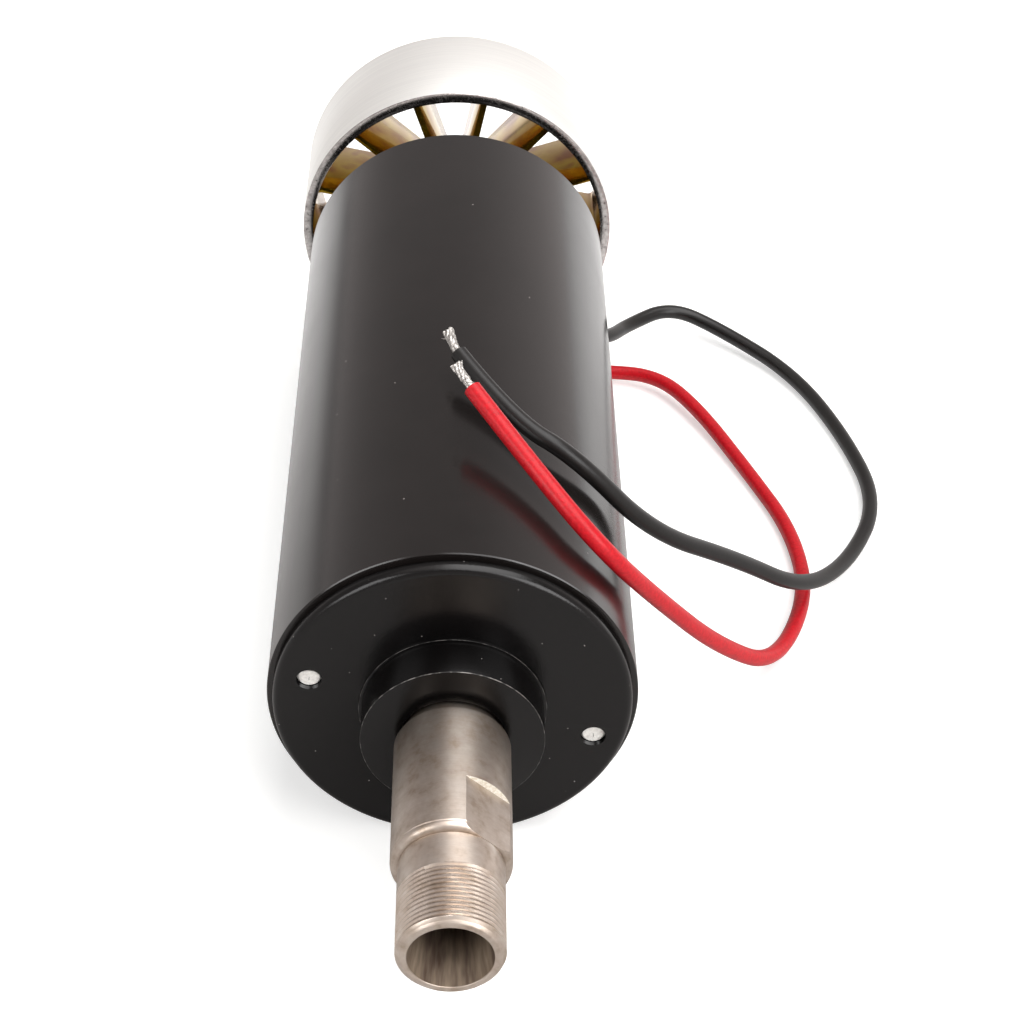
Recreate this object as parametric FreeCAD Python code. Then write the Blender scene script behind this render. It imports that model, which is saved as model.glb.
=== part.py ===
import FreeCAD, Part
import math
import os

os.makedirs("parts", exist_ok=True)

# Motor spindle: a brushed air-cooled motor in a round steel tube, with a
# collet chuck at the front and a fan that turns with the shaft at the rear.
# Frame: millimetres. The motor lies on its side, as it is photographed.
# +Y runs along the motor axis from the front cover to the fan, +Z is up.
# The origin is on the axis at the front cover's face.
# Angles go round the axis from the top (+Z) towards +X.

# Housing tube
TUBE_R = 26.0
TUBE_WALL = 2.0
TUBE_FRONT = 2.3
TUBE_LENGTH = 114.3
TUBE_BEVEL = 0.5

# Front cover
COVER_INSET = 0.85
COVER_EDGE = 1.2
COVER_BACK_BEVEL = 0.5
SPIGOT_CLEARANCE = 0.05
FRONT_SPIGOT_LENGTH = 11.2
BOSS_R = 12.7
BOSS_HEIGHT = 6.5
BOSS_EDGE = 0.4
BOSS_FOOT_R = 13.1
BOSS_FOOT_HEIGHT = 0.45
NOSE_RUNNING_GAP = 0.5
COVER_WEB = 2.4
RACE_RELIEF = 0.6

# Rear cover
REAR_FLANGE_LENGTH = 6.0
REAR_RIM_LENGTH = 1.4
REAR_STEP_INSET = 2.75
REAR_LEAD_PAD_ANGLE = 111.0
BOLT_PAD_MARGIN = 0.6
REAR_SPIGOT_LENGTH = 13.1
REAR_WALL = 1.35
REAR_PLATE_DEPTH = 11.6
REAR_BOSS_R = 12.0
REAR_BOSS_HEIGHT = 1.0

# Tie bolts that hold the two covers to the tube
BOLT_WALL_DISTANCE = 3.5
BOLT_ANGLES = (-75.4, 104.6)
BOLT_R = 1.95
BOLT_THREAD_R = 1.7
BOLT_HOLE_R = 2.15
BOLT_TAPPED_R = 1.75
BOLT_END_RECESS = 0.6
BOLT_END_BEVEL = 0.25
BOLT_HEAD_R = 3.5
BOLT_HEAD_HEIGHT = 2.4
SOCKET_ACROSS = 2.5
SOCKET_DEPTH = 1.4
WASHER_R = 4.0
WASHER_THICKNESS = 0.6

# Ball bearings: bore radius, outer radius, width and ball count
FRONT_BORE_R = 6.0
FRONT_OUTER_R = 14.0
FRONT_WIDTH = 8.0
FRONT_BALLS = 8
REAR_BORE_R = 4.0
REAR_OUTER_R = 11.0
REAR_WIDTH = 7.0
REAR_BALLS = 7
BALL_SHARE = 0.29
BALL_CLEARANCE = 0.07
CAGE_RIM = 0.25
RACE_SHOULDER = 0.66
CAGE_SHARE = 0.4
SHIELD_THICKNESS = 0.3
SHIELD_INSET = 0.25
SHIELD_GAP = 0.2
SEAT_FIT = 0.02
CIRCLIP_THICKNESS = 0.95
CIRCLIP_GROOVE_DEPTH = 0.6
CIRCLIP_OPENING = 7.0
CIRCLIP_DEPTH = 1.7
WAVE_SPACE = 0.6
WAVE_MARGIN = 0.1

# Collet chuck
CHUCK_R = 8.0
CHUCK_STEP = -30.2
CHUCK_BEVEL = 1.0
CHUCK_STEP_LAND = 0.1
NECK_R = 7.0
NOSE_END = -45.1
NOSE_BEVEL = 0.7
MOUTH_R = 5.5
TAPER_HALF_ANGLE = 8.0
TAPER_LENGTH = 12.5
COLLET_BORE_LENGTH = 10.0
CHUCK_SOCKET_DEPTH = 22.0
CHUCK_SOCKET_R = 4.0
CHUCK_SHOULDER = -8.0
CHUCK_SHOULDER_BEVEL = 0.3
CHUCK_TAIL_R = 6.9
FLAT_ACROSS = 14.0
FLAT_LENGTH = 9.2
FLAT_ANGLE = 42.0

# Shaft and armature
COLLAR_R = 7.4
COLLAR_LENGTH = 17.5
CORE_SEAT_R = 6.0
COMMUTATOR_SEAT_R = 5.0
INSULATOR_THICKNESS = 1.0
INSULATOR_MARGIN = 0.5
SLOTS = 12
SLOT_ROOT_SHARE = 0.42
SLOT_LIP = 1.2
SLOT_ROOT_WIDTH = 2.4
SLOT_TOP_WIDTH = 5.6
SLOT_MOUTH = 2.0
SLOT_LINER = 0.25
END_TURN_CLEARANCE = 1.2
END_TURN_MARGIN = 1.5
FRONT_TURN_LENGTH = 7.8
REAR_TURN_LENGTH = 6.8
END_TURN_GAP = 0.2
END_TURN_ROUND = 2.2
ROUND_SHARE = 0.45

# Commutator and brush gear
COMMUTATOR_R = 9.5
COMMUTATOR_HUB_R = 7.0
COMMUTATOR_LENGTH = 13.2
COMMUTATOR_REACH = 12.0
COMMUTATOR_GAP = 1.0
RISER_R = 11.3
RISER_LENGTH = 2.0
BAR_SLIT = 0.5
BAR_END = 0.4
BRUSH_ANGLES = (0.0, 180.0)
BRUSH_WIDTH = 4.8
BRUSH_BREADTH = 7.8
BRUSH_RUNNING_GAP = 0.05
HOLDER_CLEARANCE = 0.1
HOLDER_WALL = 0.6
HOLDER_START_R = 11.9
HOLDER_WALL_DISTANCE = 2.2
SPRING_SPACE = 4.7
SPRING_R = 1.5
SPRING_WIRE_R = 0.25
SPRING_TURNS = 3
SPRING_END_GAP = 0.05
PLATE_THICKNESS = 2.0
PLATE_BORE_R = 12.0
PLATE_CLEARANCE = 0.1
TERMINAL_WIDTH = 4.0
TERMINAL_THICKNESS = 0.8

# Field magnets
MAGNET_GAP = 0.8
MAGNET_GLUE = 0.1
MAGNET_SHARE = 0.24
MAGNET_OVERHANG = 3.5
MAGNET_HALF_ANGLE = 65.0
MAGNET_ANGLES = (14.6, 194.6)

# Fan
RING_OVERHANG = 2.05
RING_WALL = 1.8
RING_LENGTH = 22.5
FAN_GAP = 10.9
BLADES = 12
BLADE_THICKNESS = 1.1
BLADE_PHASE = 11.4
BLADE_RECESS = 5.7
BLADE_ROOT = 0.9
HUB_R = 7.2
HUB_RECESS = 3.5
HUB_SINK_R = 5.6
HUB_SINK_DEPTH = 5.0
RING_EDGE = 0.25
SPACER_R = 5.6
SPACER_GAP = 0.6
SCREW_R = 1.95
SCREW_HOLE_CLEARANCE = 0.05
SCREW_LENGTH = 12.0
SCREW_HEAD_R = 3.5
SCREW_HEAD_HEIGHT = 3.0
FAN_WASHER_R = 5.2
FAN_WASHER_THICKNESS = 1.0
FAN_WASHER_CLEARANCE = 0.15
SHAFT_END_GAP = 0.5

# Leads
LEAD_R = 1.3
TIP_R = 0.72
BLACK_TIP_LENGTH = 5.2
RED_TIP_LENGTH = 5.8
LEAD_EXIT = 3.0
BLACK_ANGLE = 124.0
RED_ANGLE = 146.0
GROMMET_R = 2.15
GROMMET_LIP_R = 2.9
GROMMET_LIP = 0.65
GROMMET_INNER_REACH = 0.5
GROMMET_FIT = 0.03
POCKET_RACE_WALL = 3.0
POCKET_TUBE_WALL = 2.0
POCKET_START_ANGLE = 116.0
POCKET_END_ANGLE = 156.0
POCKET_FLOOR = 1.6

# Routes of the two leads, from the covers to the ends of the insulation.
# The first point of each lies in its grommet's line and is worked out below.
BLACK_ROUTE = [
    (27.8, 119.6, -18.75),
    (32.5, 131.0, -22.5),
    (41.4, 138.6, -22.9),
    (51.1, 134.0, -25.1),
    (63.9, 120.6, -26.2),
    (71.0, 100.6, -26.3),
    (73.9, 80.1, -25.3),
    (67.2, 61.6, -24.5),
    (56.3, 48.2, -18.2),
    (43.6, 39.2, -4.7),
    (28.9, 28.9, 8.6),
    (17.2, 26.8, 23.9),
    (8.2, 31.4, 26.9),
    (0.4, 42.8, 30.6),
]
RED_ROUTE = [
    (17.2, 119.6, -25.5),
    (27.5, 120.6, -25.9),
    (37.8, 118.0, -25.0),
    (45.2, 108.3, -25.1),
    (53.0, 90.7, -26.1),
    (58.0, 72.5, -25.6),
    (58.6, 54.0, -24.9),
    (51.0, 35.9, -23.8),
    (39.9, 25.5, -10.4),
    (29.4, 16.4, 6.2),
    (21.2, 10.1, 19.5),
    (14.0, 16.5, 26.4),
    (2.3, 30.5, 33.0),
]
BLACK_START_INSET = 1.0
RED_START_INSET = 1.4
ARC_SHARE = 0.45

# Radii that several pieces share
TUBE_BORE_R = TUBE_R - TUBE_WALL
COVER_R = TUBE_R - COVER_INSET
BOLT_CIRCLE_R = TUBE_BORE_R - BOLT_WALL_DISTANCE
MAGNET_R = TUBE_BORE_R - MAGNET_GLUE
MAGNET_FACE_R = MAGNET_R - MAGNET_SHARE * TUBE_BORE_R
CORE_R = MAGNET_FACE_R - MAGNET_GAP
INSULATOR_R = CORE_R - INSULATOR_MARGIN
SLOT_TOP_R = CORE_R - SLOT_LIP
SLOT_ROOT_R = CORE_SEAT_R + SLOT_ROOT_SHARE * (SLOT_TOP_R - CORE_SEAT_R)
END_TURN_OUTER_R = CORE_R - END_TURN_MARGIN
END_TURN_INNER_R = COLLAR_R + END_TURN_CLEARANCE
HOLDER_END_R = TUBE_BORE_R - HOLDER_WALL_DISTANCE
HOLDER_CAP_R = HOLDER_END_R - HOLDER_WALL
BRUSH_TOP_R = HOLDER_CAP_R - SPRING_SPACE
POCKET_INNER_R = REAR_OUTER_R + POCKET_RACE_WALL
POCKET_OUTER_R = TUBE_BORE_R - POCKET_TUBE_WALL
BLACK_START_R = POCKET_OUTER_R - BLACK_START_INSET
RED_START_R = POCKET_OUTER_R - RED_START_INSET
RING_R = TUBE_R + RING_OVERHANG
FRONT_BALL_R = BALL_SHARE * (FRONT_OUTER_R - FRONT_BORE_R)
REAR_BALL_R = BALL_SHARE * (REAR_OUTER_R - REAR_BORE_R)

# Places along the axis that several pieces share
TUBE_REAR = TUBE_FRONT + TUBE_LENGTH
FRONT_RACE = COVER_WEB + RACE_RELIEF
FRONT_RACE_END = FRONT_RACE + FRONT_WIDTH
COVER_BACK = TUBE_FRONT + FRONT_SPIGOT_LENGTH
REAR_FACE = TUBE_REAR + REAR_FLANGE_LENGTH
REAR_SPIGOT = TUBE_REAR - REAR_SPIGOT_LENGTH
REAR_PLATE = REAR_FACE - REAR_PLATE_DEPTH
REAR_RACE = REAR_PLATE - WAVE_SPACE
REAR_RACE_END = REAR_RACE + REAR_WIDTH
REAR_POCKET_END = REAR_RACE_END + WAVE_SPACE
PLATE_FRONT = REAR_SPIGOT - PLATE_THICKNESS
COMMUTATOR_FRONT = PLATE_FRONT - COMMUTATOR_REACH
WINDING_REAR = COMMUTATOR_FRONT - COMMUTATOR_GAP - REAR_TURN_LENGTH
CORE_REAR = WINDING_REAR - END_TURN_GAP - INSULATOR_THICKNESS
CORE_FRONT = FRONT_RACE_END + COLLAR_LENGTH + INSULATOR_THICKNESS
WINDING_FRONT = CORE_FRONT - INSULATOR_THICKNESS - END_TURN_GAP
MAGNET_START = CORE_FRONT - MAGNET_OVERHANG
MAGNET_END = CORE_REAR + MAGNET_OVERHANG
HOLDER_REAR = PLATE_FRONT
BRUSH_REAR = HOLDER_REAR - HOLDER_WALL - HOLDER_CLEARANCE
BRUSH_FRONT = BRUSH_REAR - BRUSH_BREADTH
FAN_FRONT = TUBE_REAR + FAN_GAP
FAN_REAR = FAN_FRONT + RING_LENGTH
BLADE_FRONT = FAN_FRONT + BLADE_RECESS
HUB_FRONT = FAN_FRONT + HUB_RECESS
HUB_SEAT = FAN_REAR - HUB_SINK_DEPTH
SHAFT_REAR = HUB_SEAT - SHAFT_END_GAP
LEAD_Y = TUBE_REAR + LEAD_EXIT

Y_AXIS = FreeCAD.Vector(0, 1, 0)
ORIGIN = FreeCAD.Vector(0, 0, 0)
SLACK = 1.0


def vec(x, y, z):
    return FreeCAD.Vector(x, y, z)


def spin(shape, angle):
    """Copy of a shape built at the top, turned round the motor axis."""
    turned = shape.copy()
    turned.rotate(ORIGIN, Y_AXIS, angle)
    return turned


def rod(radius, start, end, x=0.0, z=0.0):
    return Part.makeCylinder(radius, end - start, vec(x, start, z), Y_AXIS)


def sleeve(outer, inner, start, end, x=0.0, z=0.0):
    bore = rod(inner, start - SLACK, end + SLACK, x, z)
    return rod(outer, start, end, x, z).cut(bore)


def block(x0, x1, y0, y1, z0, z1):
    return Part.makeBox(x1 - x0, y1 - y0, z1 - z0, vec(x0, y0, z0))


def turned(profile):
    """Solid of revolution about the motor axis from (radius, y) points."""
    points = [vec(r, y, 0) for r, y in profile]
    face = Part.Face(Part.makePolygon(points + points[:1]))
    return face.revolve(ORIGIN, Y_AXIS, 360)


def circles(shape, radius, y):
    """Round edges of a shape about the motor axis, by radius and place."""
    found = []
    for edge in shape.Edges:
        curve = edge.Curve
        if not isinstance(curve, Part.Circle):
            continue
        if abs(curve.Radius - radius) > 0.01:
            continue
        centre = curve.Center
        if math.hypot(centre.x, centre.z) > 0.01:
            continue
        if abs(centre.y - y) > 0.01:
            continue
        found.append(edge)
    return found


def prism(outline, start, end):
    """Bar along the motor axis from an (x, z) outline."""
    points = [vec(x, start, z) for x, z in outline]
    face = Part.Face(Part.makePolygon(points + points[:1]))
    return face.extrude(vec(0, end - start, 0))


def hexagon(across, start, end, x=0.0, z=0.0):
    radius = across / 2 / math.cos(math.pi / 6)
    outline = []
    for i in range(6):
        angle = math.radians(60 * i)
        outline.append((x + radius * math.cos(angle), z + radius * math.sin(angle)))
    return prism(outline, start, end)


def sector(outer, inner, start_angle, end_angle, start, end):
    """Part of a ring between two angles from the top."""
    base = sleeve(outer, inner, start, end)
    reach = 2 * outer
    middle = (start_angle + end_angle) / 2
    half = math.radians((end_angle - start_angle) / 2)
    wedge = [(0, 0), (-reach * math.sin(half), reach * math.cos(half))]
    wedge.append((0, reach * 1.5))
    wedge.append((reach * math.sin(half), reach * math.cos(half)))
    return base.common(spin(prism(wedge, start, end), middle))


def polar(radius, angle):
    turn = math.radians(angle)
    return radius * math.sin(turn), radius * math.cos(turn)


def housing_tube():
    tube = sleeve(TUBE_R, TUBE_BORE_R, TUBE_FRONT, TUBE_REAR)
    rims = circles(tube, TUBE_R, TUBE_FRONT) + circles(tube, TUBE_R, TUBE_REAR)
    return tube.makeChamfer(TUBE_BEVEL, rims)


def front_cover():
    spigot_r = TUBE_BORE_R - SPIGOT_CLEARANCE
    bore_r = CHUCK_TAIL_R + NOSE_RUNNING_GAP
    relief_r = FRONT_OUTER_R - CIRCLIP_DEPTH
    groove_r = FRONT_OUTER_R + CIRCLIP_GROOVE_DEPTH
    groove = FRONT_RACE_END + BALL_CLEARANCE
    groove_end = groove + CIRCLIP_THICKNESS + 2 * BALL_CLEARANCE
    cover = turned([
        (bore_r, -BOSS_HEIGHT),
        (BOSS_R, -BOSS_HEIGHT),
        (BOSS_R, -BOSS_FOOT_HEIGHT),
        (BOSS_FOOT_R, -BOSS_FOOT_HEIGHT),
        (BOSS_FOOT_R, 0),
        (COVER_R, 0),
        (COVER_R, TUBE_FRONT),
        (spigot_r, TUBE_FRONT),
        (spigot_r, COVER_BACK),
        (FRONT_OUTER_R, COVER_BACK),
        (FRONT_OUTER_R, groove_end),
        (groove_r, groove_end),
        (groove_r, groove),
        (FRONT_OUTER_R, groove),
        (FRONT_OUTER_R, FRONT_RACE),
        (relief_r, FRONT_RACE),
        (relief_r, COVER_WEB),
        (bore_r, COVER_WEB),
    ])
    cover = cover.makeFillet(COVER_EDGE, circles(cover, COVER_R, 0))
    cover = cover.makeFillet(BOSS_EDGE, circles(cover, BOSS_R, -BOSS_HEIGHT))
    cover = cover.makeChamfer(COVER_BACK_BEVEL, circles(cover, COVER_R, TUBE_FRONT))
    for angle in BOLT_ANGLES:
        x, z = polar(BOLT_CIRCLE_R, angle)
        cover = cover.cut(rod(BOLT_TAPPED_R, -SLACK, COVER_BACK + SLACK, x, z))
    return cover


def rear_relief():
    """Step behind the rear cover's rim, left full at the bolts and the leads."""
    start = TUBE_REAR + REAR_RIM_LENGTH
    end = REAR_FACE + SLACK
    relief = sleeve(COVER_R + SLACK, COVER_R - REAR_STEP_INSET, start, end)
    for angle in BOLT_ANGLES:
        x, z = polar(BOLT_CIRCLE_R, angle)
        relief = relief.cut(rod(WASHER_R + BOLT_PAD_MARGIN, start, end, x, z))
    pad_top = polar(COVER_R, REAR_LEAD_PAD_ANGLE)[1]
    return relief.cut(block(-TUBE_R, TUBE_R, start, end, -TUBE_R, pad_top))


def rear_cover():
    spigot_r = TUBE_BORE_R - SPIGOT_CLEARANCE
    shaft_hole_r = SPACER_R + SPACER_GAP
    boss_end = REAR_FACE + REAR_BOSS_HEIGHT
    cover = turned([
        (spigot_r - REAR_WALL, REAR_SPIGOT),
        (spigot_r, REAR_SPIGOT),
        (spigot_r, TUBE_REAR),
        (COVER_R, TUBE_REAR),
        (COVER_R, REAR_FACE),
        (REAR_BOSS_R, REAR_FACE),
        (REAR_BOSS_R, boss_end),
        (shaft_hole_r, boss_end),
        (shaft_hole_r, REAR_POCKET_END),
        (REAR_OUTER_R, REAR_POCKET_END),
        (REAR_OUTER_R, REAR_PLATE - SLACK),
        (POCKET_INNER_R, REAR_PLATE - SLACK),
        (POCKET_INNER_R, REAR_PLATE),
        (spigot_r - REAR_WALL, REAR_PLATE),
    ])
    cover = cover.makeFillet(COVER_EDGE, circles(cover, COVER_R, REAR_FACE))
    cover = cover.makeChamfer(COVER_BACK_BEVEL, circles(cover, COVER_R, TUBE_REAR))
    for angle in BOLT_ANGLES:
        x, z = polar(BOLT_CIRCLE_R, angle)
        cover = cover.cut(rod(BOLT_HOLE_R, REAR_PLATE - SLACK, REAR_FACE + SLACK, x, z))
    pocket = sector(POCKET_OUTER_R, POCKET_INNER_R, POCKET_START_ANGLE, POCKET_END_ANGLE,
                    REAR_PLATE - SLACK, REAR_FACE - POCKET_FLOOR)
    cover = cover.cut(pocket).cut(rear_relief())
    hole = Part.makeCylinder(GROMMET_R + GROMMET_FIT, TUBE_R - POCKET_INNER_R,
                             vec(0, LEAD_Y, POCKET_OUTER_R - SLACK), vec(0, 0, 1))
    for angle in (BLACK_ANGLE, RED_ANGLE):
        cover = cover.cut(spin(hole, angle))
    return cover


def tie_bolt(angle):
    x, z = polar(BOLT_CIRCLE_R, angle)
    seat = REAR_FACE + WASHER_THICKNESS
    bolt = rod(BOLT_R, COVER_BACK, seat, x, z)
    thread = rod(BOLT_THREAD_R, BOLT_END_RECESS, COVER_BACK, x, z)
    tip = [e for e in thread.Edges if abs(e.BoundBox.YMax - BOLT_END_RECESS) < 0.01]
    bolt = bolt.fuse(thread.makeChamfer(BOLT_END_BEVEL, tip))
    head = rod(BOLT_HEAD_R, seat, seat + BOLT_HEAD_HEIGHT, x, z)
    socket_start = seat + BOLT_HEAD_HEIGHT - SOCKET_DEPTH
    socket = hexagon(SOCKET_ACROSS, socket_start, seat + BOLT_HEAD_HEIGHT + SLACK, x, z)
    return bolt.fuse(head.cut(socket)).removeSplitter()


def bolt_washer(angle):
    x, z = polar(BOLT_CIRCLE_R, angle)
    return sleeve(WASHER_R, BOLT_HOLE_R, REAR_FACE, REAR_FACE + WASHER_THICKNESS, x, z)


def bearing(start, width, bore_r, outer_r, ball_r, count):
    """Races, balls, cage and shields of a deep-groove ball bearing."""
    pitch_r = (bore_r + outer_r) / 2
    middle = start + width / 2
    end = start + width
    groove = Part.makeTorus(pitch_r, ball_r + BALL_CLEARANCE, vec(0, middle, 0), Y_AXIS)
    inner_land = pitch_r - RACE_SHOULDER * ball_r
    outer_land = pitch_r + RACE_SHOULDER * ball_r
    inner = sleeve(inner_land, bore_r, start, end).cut(groove)
    outer = sleeve(outer_r - SEAT_FIT, outer_land, start, end).cut(groove)
    ball = Part.makeSphere(ball_r, vec(0, middle, pitch_r))
    pocket = Part.makeSphere(ball_r + BALL_CLEARANCE, vec(0, middle, pitch_r))
    half_cage = CAGE_SHARE * ball_r
    half_length = ball_r + BALL_CLEARANCE + CAGE_RIM
    cage = sleeve(pitch_r + half_cage, pitch_r - half_cage,
                  middle - half_length, middle + half_length)
    balls = []
    for i in range(count):
        angle = 360.0 * i / count
        balls.append(spin(ball, angle))
        cage = cage.cut(spin(pocket, angle))
    shields = []
    for face in (start + SHIELD_INSET, end - SHIELD_INSET - SHIELD_THICKNESS):
        shields.append(sleeve(outer_land - SEAT_FIT, inner_land + SHIELD_GAP,
                              face, face + SHIELD_THICKNESS))
    return inner, outer, Part.makeCompound(balls), cage, Part.makeCompound(shields)


def circlip():
    start = FRONT_RACE_END + 2 * BALL_CLEARANCE
    outer_r = FRONT_OUTER_R + CIRCLIP_GROOVE_DEPTH - 2 * BALL_CLEARANCE
    ring = sleeve(outer_r, FRONT_OUTER_R - CIRCLIP_DEPTH, start, start + CIRCLIP_THICKNESS)
    half = CIRCLIP_OPENING / 2
    gap = block(-half, half, start - SLACK, start + CIRCLIP_THICKNESS + SLACK, -2 * outer_r, 0)
    return ring.cut(gap)


def wave_washer():
    land = (REAR_BORE_R + REAR_OUTER_R) / 2 + RACE_SHOULDER * REAR_BALL_R
    return sleeve(REAR_OUTER_R - WAVE_MARGIN, land + WAVE_MARGIN,
                  REAR_RACE_END + WAVE_MARGIN, REAR_POCKET_END - WAVE_MARGIN)


def collet_chuck():
    neck_start = CHUCK_STEP + CHUCK_BEVEL
    taper_end = NOSE_END + TAPER_LENGTH
    bore_r = MOUTH_R - TAPER_LENGTH * math.tan(math.radians(TAPER_HALF_ANGLE))
    bore_end = taper_end + COLLET_BORE_LENGTH
    socket = FRONT_RACE - CHUCK_SOCKET_DEPTH
    chuck = turned([
        (0, bore_end),
        (bore_r, bore_end),
        (bore_r, taper_end),
        (MOUTH_R, NOSE_END),
        (NECK_R - NOSE_BEVEL, NOSE_END),
        (NECK_R, NOSE_END + NOSE_BEVEL),
        (NECK_R, CHUCK_STEP),
        (NECK_R + CHUCK_STEP_LAND, CHUCK_STEP),
        (CHUCK_R, neck_start),
        (CHUCK_R, CHUCK_SHOULDER - CHUCK_SHOULDER_BEVEL),
        (CHUCK_R - CHUCK_SHOULDER_BEVEL, CHUCK_SHOULDER),
        (CHUCK_TAIL_R, CHUCK_SHOULDER),
        (CHUCK_TAIL_R, FRONT_RACE),
        (CHUCK_SOCKET_R, FRONT_RACE),
        (CHUCK_SOCKET_R, socket),
        (0, socket),
    ])
    flat = block(-CHUCK_R, CHUCK_R, CHUCK_STEP - SLACK, CHUCK_STEP + FLAT_LENGTH,
                 FLAT_ACROSS / 2, CHUCK_R + SLACK)
    for angle in (FLAT_ANGLE, FLAT_ANGLE + 180):
        chuck = chuck.cut(spin(flat, angle))
    return chuck


def motor_shaft():
    spigot_r = CHUCK_SOCKET_R - SEAT_FIT
    spigot = FRONT_RACE - CHUCK_SOCKET_DEPTH + SHAFT_END_GAP
    front_r = FRONT_BORE_R - SEAT_FIT
    core_r = CORE_SEAT_R - SEAT_FIT
    core_seat_end = WINDING_REAR + REAR_TURN_LENGTH
    commutator_r = COMMUTATOR_SEAT_R - SEAT_FIT
    rear_r = REAR_BORE_R - SEAT_FIT
    shaft = turned([
        (0, spigot),
        (spigot_r, spigot),
        (spigot_r, FRONT_RACE),
        (front_r, FRONT_RACE),
        (front_r, FRONT_RACE_END),
        (COLLAR_R, FRONT_RACE_END),
        (COLLAR_R, FRONT_RACE_END + COLLAR_LENGTH),
        (core_r, FRONT_RACE_END + COLLAR_LENGTH),
        (core_r, core_seat_end),
        (commutator_r, core_seat_end),
        (commutator_r, REAR_RACE),
        (rear_r, REAR_RACE),
        (rear_r, SHAFT_REAR),
        (0, SHAFT_REAR),
    ])
    hole_r = SCREW_R + SCREW_HOLE_CLEARANCE
    return shaft.cut(rod(hole_r, SHAFT_REAR - SCREW_LENGTH, SHAFT_REAR + SLACK))


def slot_cutter(start, end):
    root = SLOT_ROOT_WIDTH / 2
    top = SLOT_TOP_WIDTH / 2
    body = prism([(-root, SLOT_ROOT_R), (root, SLOT_ROOT_R), (top, SLOT_TOP_R),
                  (-top, SLOT_TOP_R)], start, end)
    half = SLOT_MOUTH / 2
    mouth = block(-half, half, start, end, SLOT_TOP_R - SLACK, CORE_R + SLACK)
    return body.fuse(mouth)


def slotted_disc(radius, start, end):
    disc = sleeve(radius, CORE_SEAT_R, start, end)
    cutter = slot_cutter(start - SLACK, end + SLACK)
    for i in range(SLOTS):
        disc = disc.cut(spin(cutter, 360.0 * i / SLOTS))
    return disc


def end_insulators():
    front = slotted_disc(INSULATOR_R, CORE_FRONT - INSULATOR_THICKNESS, CORE_FRONT)
    rear = slotted_disc(INSULATOR_R, CORE_REAR, CORE_REAR + INSULATOR_THICKNESS)
    return Part.makeCompound([front, rear])


def end_turn(start, end):
    ring = sleeve(END_TURN_OUTER_R, END_TURN_INNER_R, start, end)
    edges = circles(ring, END_TURN_OUTER_R, start) + circles(ring, END_TURN_OUTER_R, end)
    edges = edges + circles(ring, END_TURN_INNER_R, start)
    width = END_TURN_OUTER_R - END_TURN_INNER_R
    return ring.makeFillet(min(END_TURN_ROUND, ROUND_SHARE * width), edges)


def armature_winding():
    front_start = WINDING_FRONT - FRONT_TURN_LENGTH
    rear_end = WINDING_REAR + REAR_TURN_LENGTH
    winding = end_turn(front_start, WINDING_FRONT)
    root = SLOT_ROOT_WIDTH / 2 - SLOT_LINER
    top = SLOT_TOP_WIDTH / 2 - SLOT_LINER
    bar = prism([(-root, SLOT_ROOT_R + SLOT_LINER), (root, SLOT_ROOT_R + SLOT_LINER),
                 (top, SLOT_TOP_R - 2 * SLOT_LINER), (-top, SLOT_TOP_R - 2 * SLOT_LINER)],
                WINDING_FRONT - END_TURN_ROUND, WINDING_REAR + END_TURN_ROUND)
    for i in range(SLOTS):
        winding = winding.fuse(spin(bar, 360.0 * i / SLOTS))
    rear = end_turn(WINDING_REAR, rear_end)
    return winding.fuse(rear)


def commutator_hub():
    return sleeve(COMMUTATOR_HUB_R, COMMUTATOR_SEAT_R, COMMUTATOR_FRONT,
                  COMMUTATOR_FRONT + COMMUTATOR_LENGTH)


def commutator_bars():
    start = COMMUTATOR_FRONT + BAR_END
    end = COMMUTATOR_FRONT + COMMUTATOR_LENGTH - BAR_END
    ring = turned([
        (COMMUTATOR_HUB_R, start),
        (RISER_R, start),
        (RISER_R, start + RISER_LENGTH),
        (COMMUTATOR_R, start + RISER_LENGTH),
        (COMMUTATOR_R, end),
        (COMMUTATOR_HUB_R, end),
    ])
    half = BAR_SLIT / 2
    slit = block(-half, half, start - SLACK, end + SLACK, 0, RISER_R + SLACK)
    for i in range(SLOTS):
        ring = ring.cut(spin(slit, 360.0 * (i + 0.5) / SLOTS))
    return ring


def carbon_brush(angle):
    half = BRUSH_WIDTH / 2
    brush = block(-half, half, BRUSH_FRONT, BRUSH_REAR,
                  COMMUTATOR_HUB_R, BRUSH_TOP_R)
    face = rod(COMMUTATOR_R + BRUSH_RUNNING_GAP, BRUSH_FRONT - SLACK, BRUSH_REAR + SLACK)
    return spin(brush.cut(face), angle)


def brush_spring(angle):
    """Coil spring that presses a brush against the commutator."""
    start = BRUSH_TOP_R + SPRING_WIRE_R + SPRING_END_GAP
    height = HOLDER_CAP_R - SPRING_WIRE_R - SPRING_END_GAP - start
    helix = Part.makeHelix(height / SPRING_TURNS, height, SPRING_R)
    section = Part.Wire(Part.Circle(vec(SPRING_R, 0, 0), vec(0, 1, 0), SPRING_WIRE_R).toShape())
    spring = Part.Wire(helix.Edges).makePipeShell([section], True, True)
    spring.translate(vec(0, (BRUSH_FRONT + BRUSH_REAR) / 2, start))
    return spin(spring, angle)


def brush_holder(angle):
    inner = BRUSH_WIDTH / 2 + HOLDER_CLEARANCE
    outer = inner + HOLDER_WALL
    front = BRUSH_FRONT - HOLDER_CLEARANCE - HOLDER_WALL
    box = block(-outer, outer, front, HOLDER_REAR, HOLDER_START_R, HOLDER_END_R)
    space = block(-inner, inner, BRUSH_FRONT - HOLDER_CLEARANCE, BRUSH_REAR + HOLDER_CLEARANCE,
                  HOLDER_START_R - SLACK, HOLDER_CAP_R)
    return spin(box.cut(space), angle)


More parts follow.
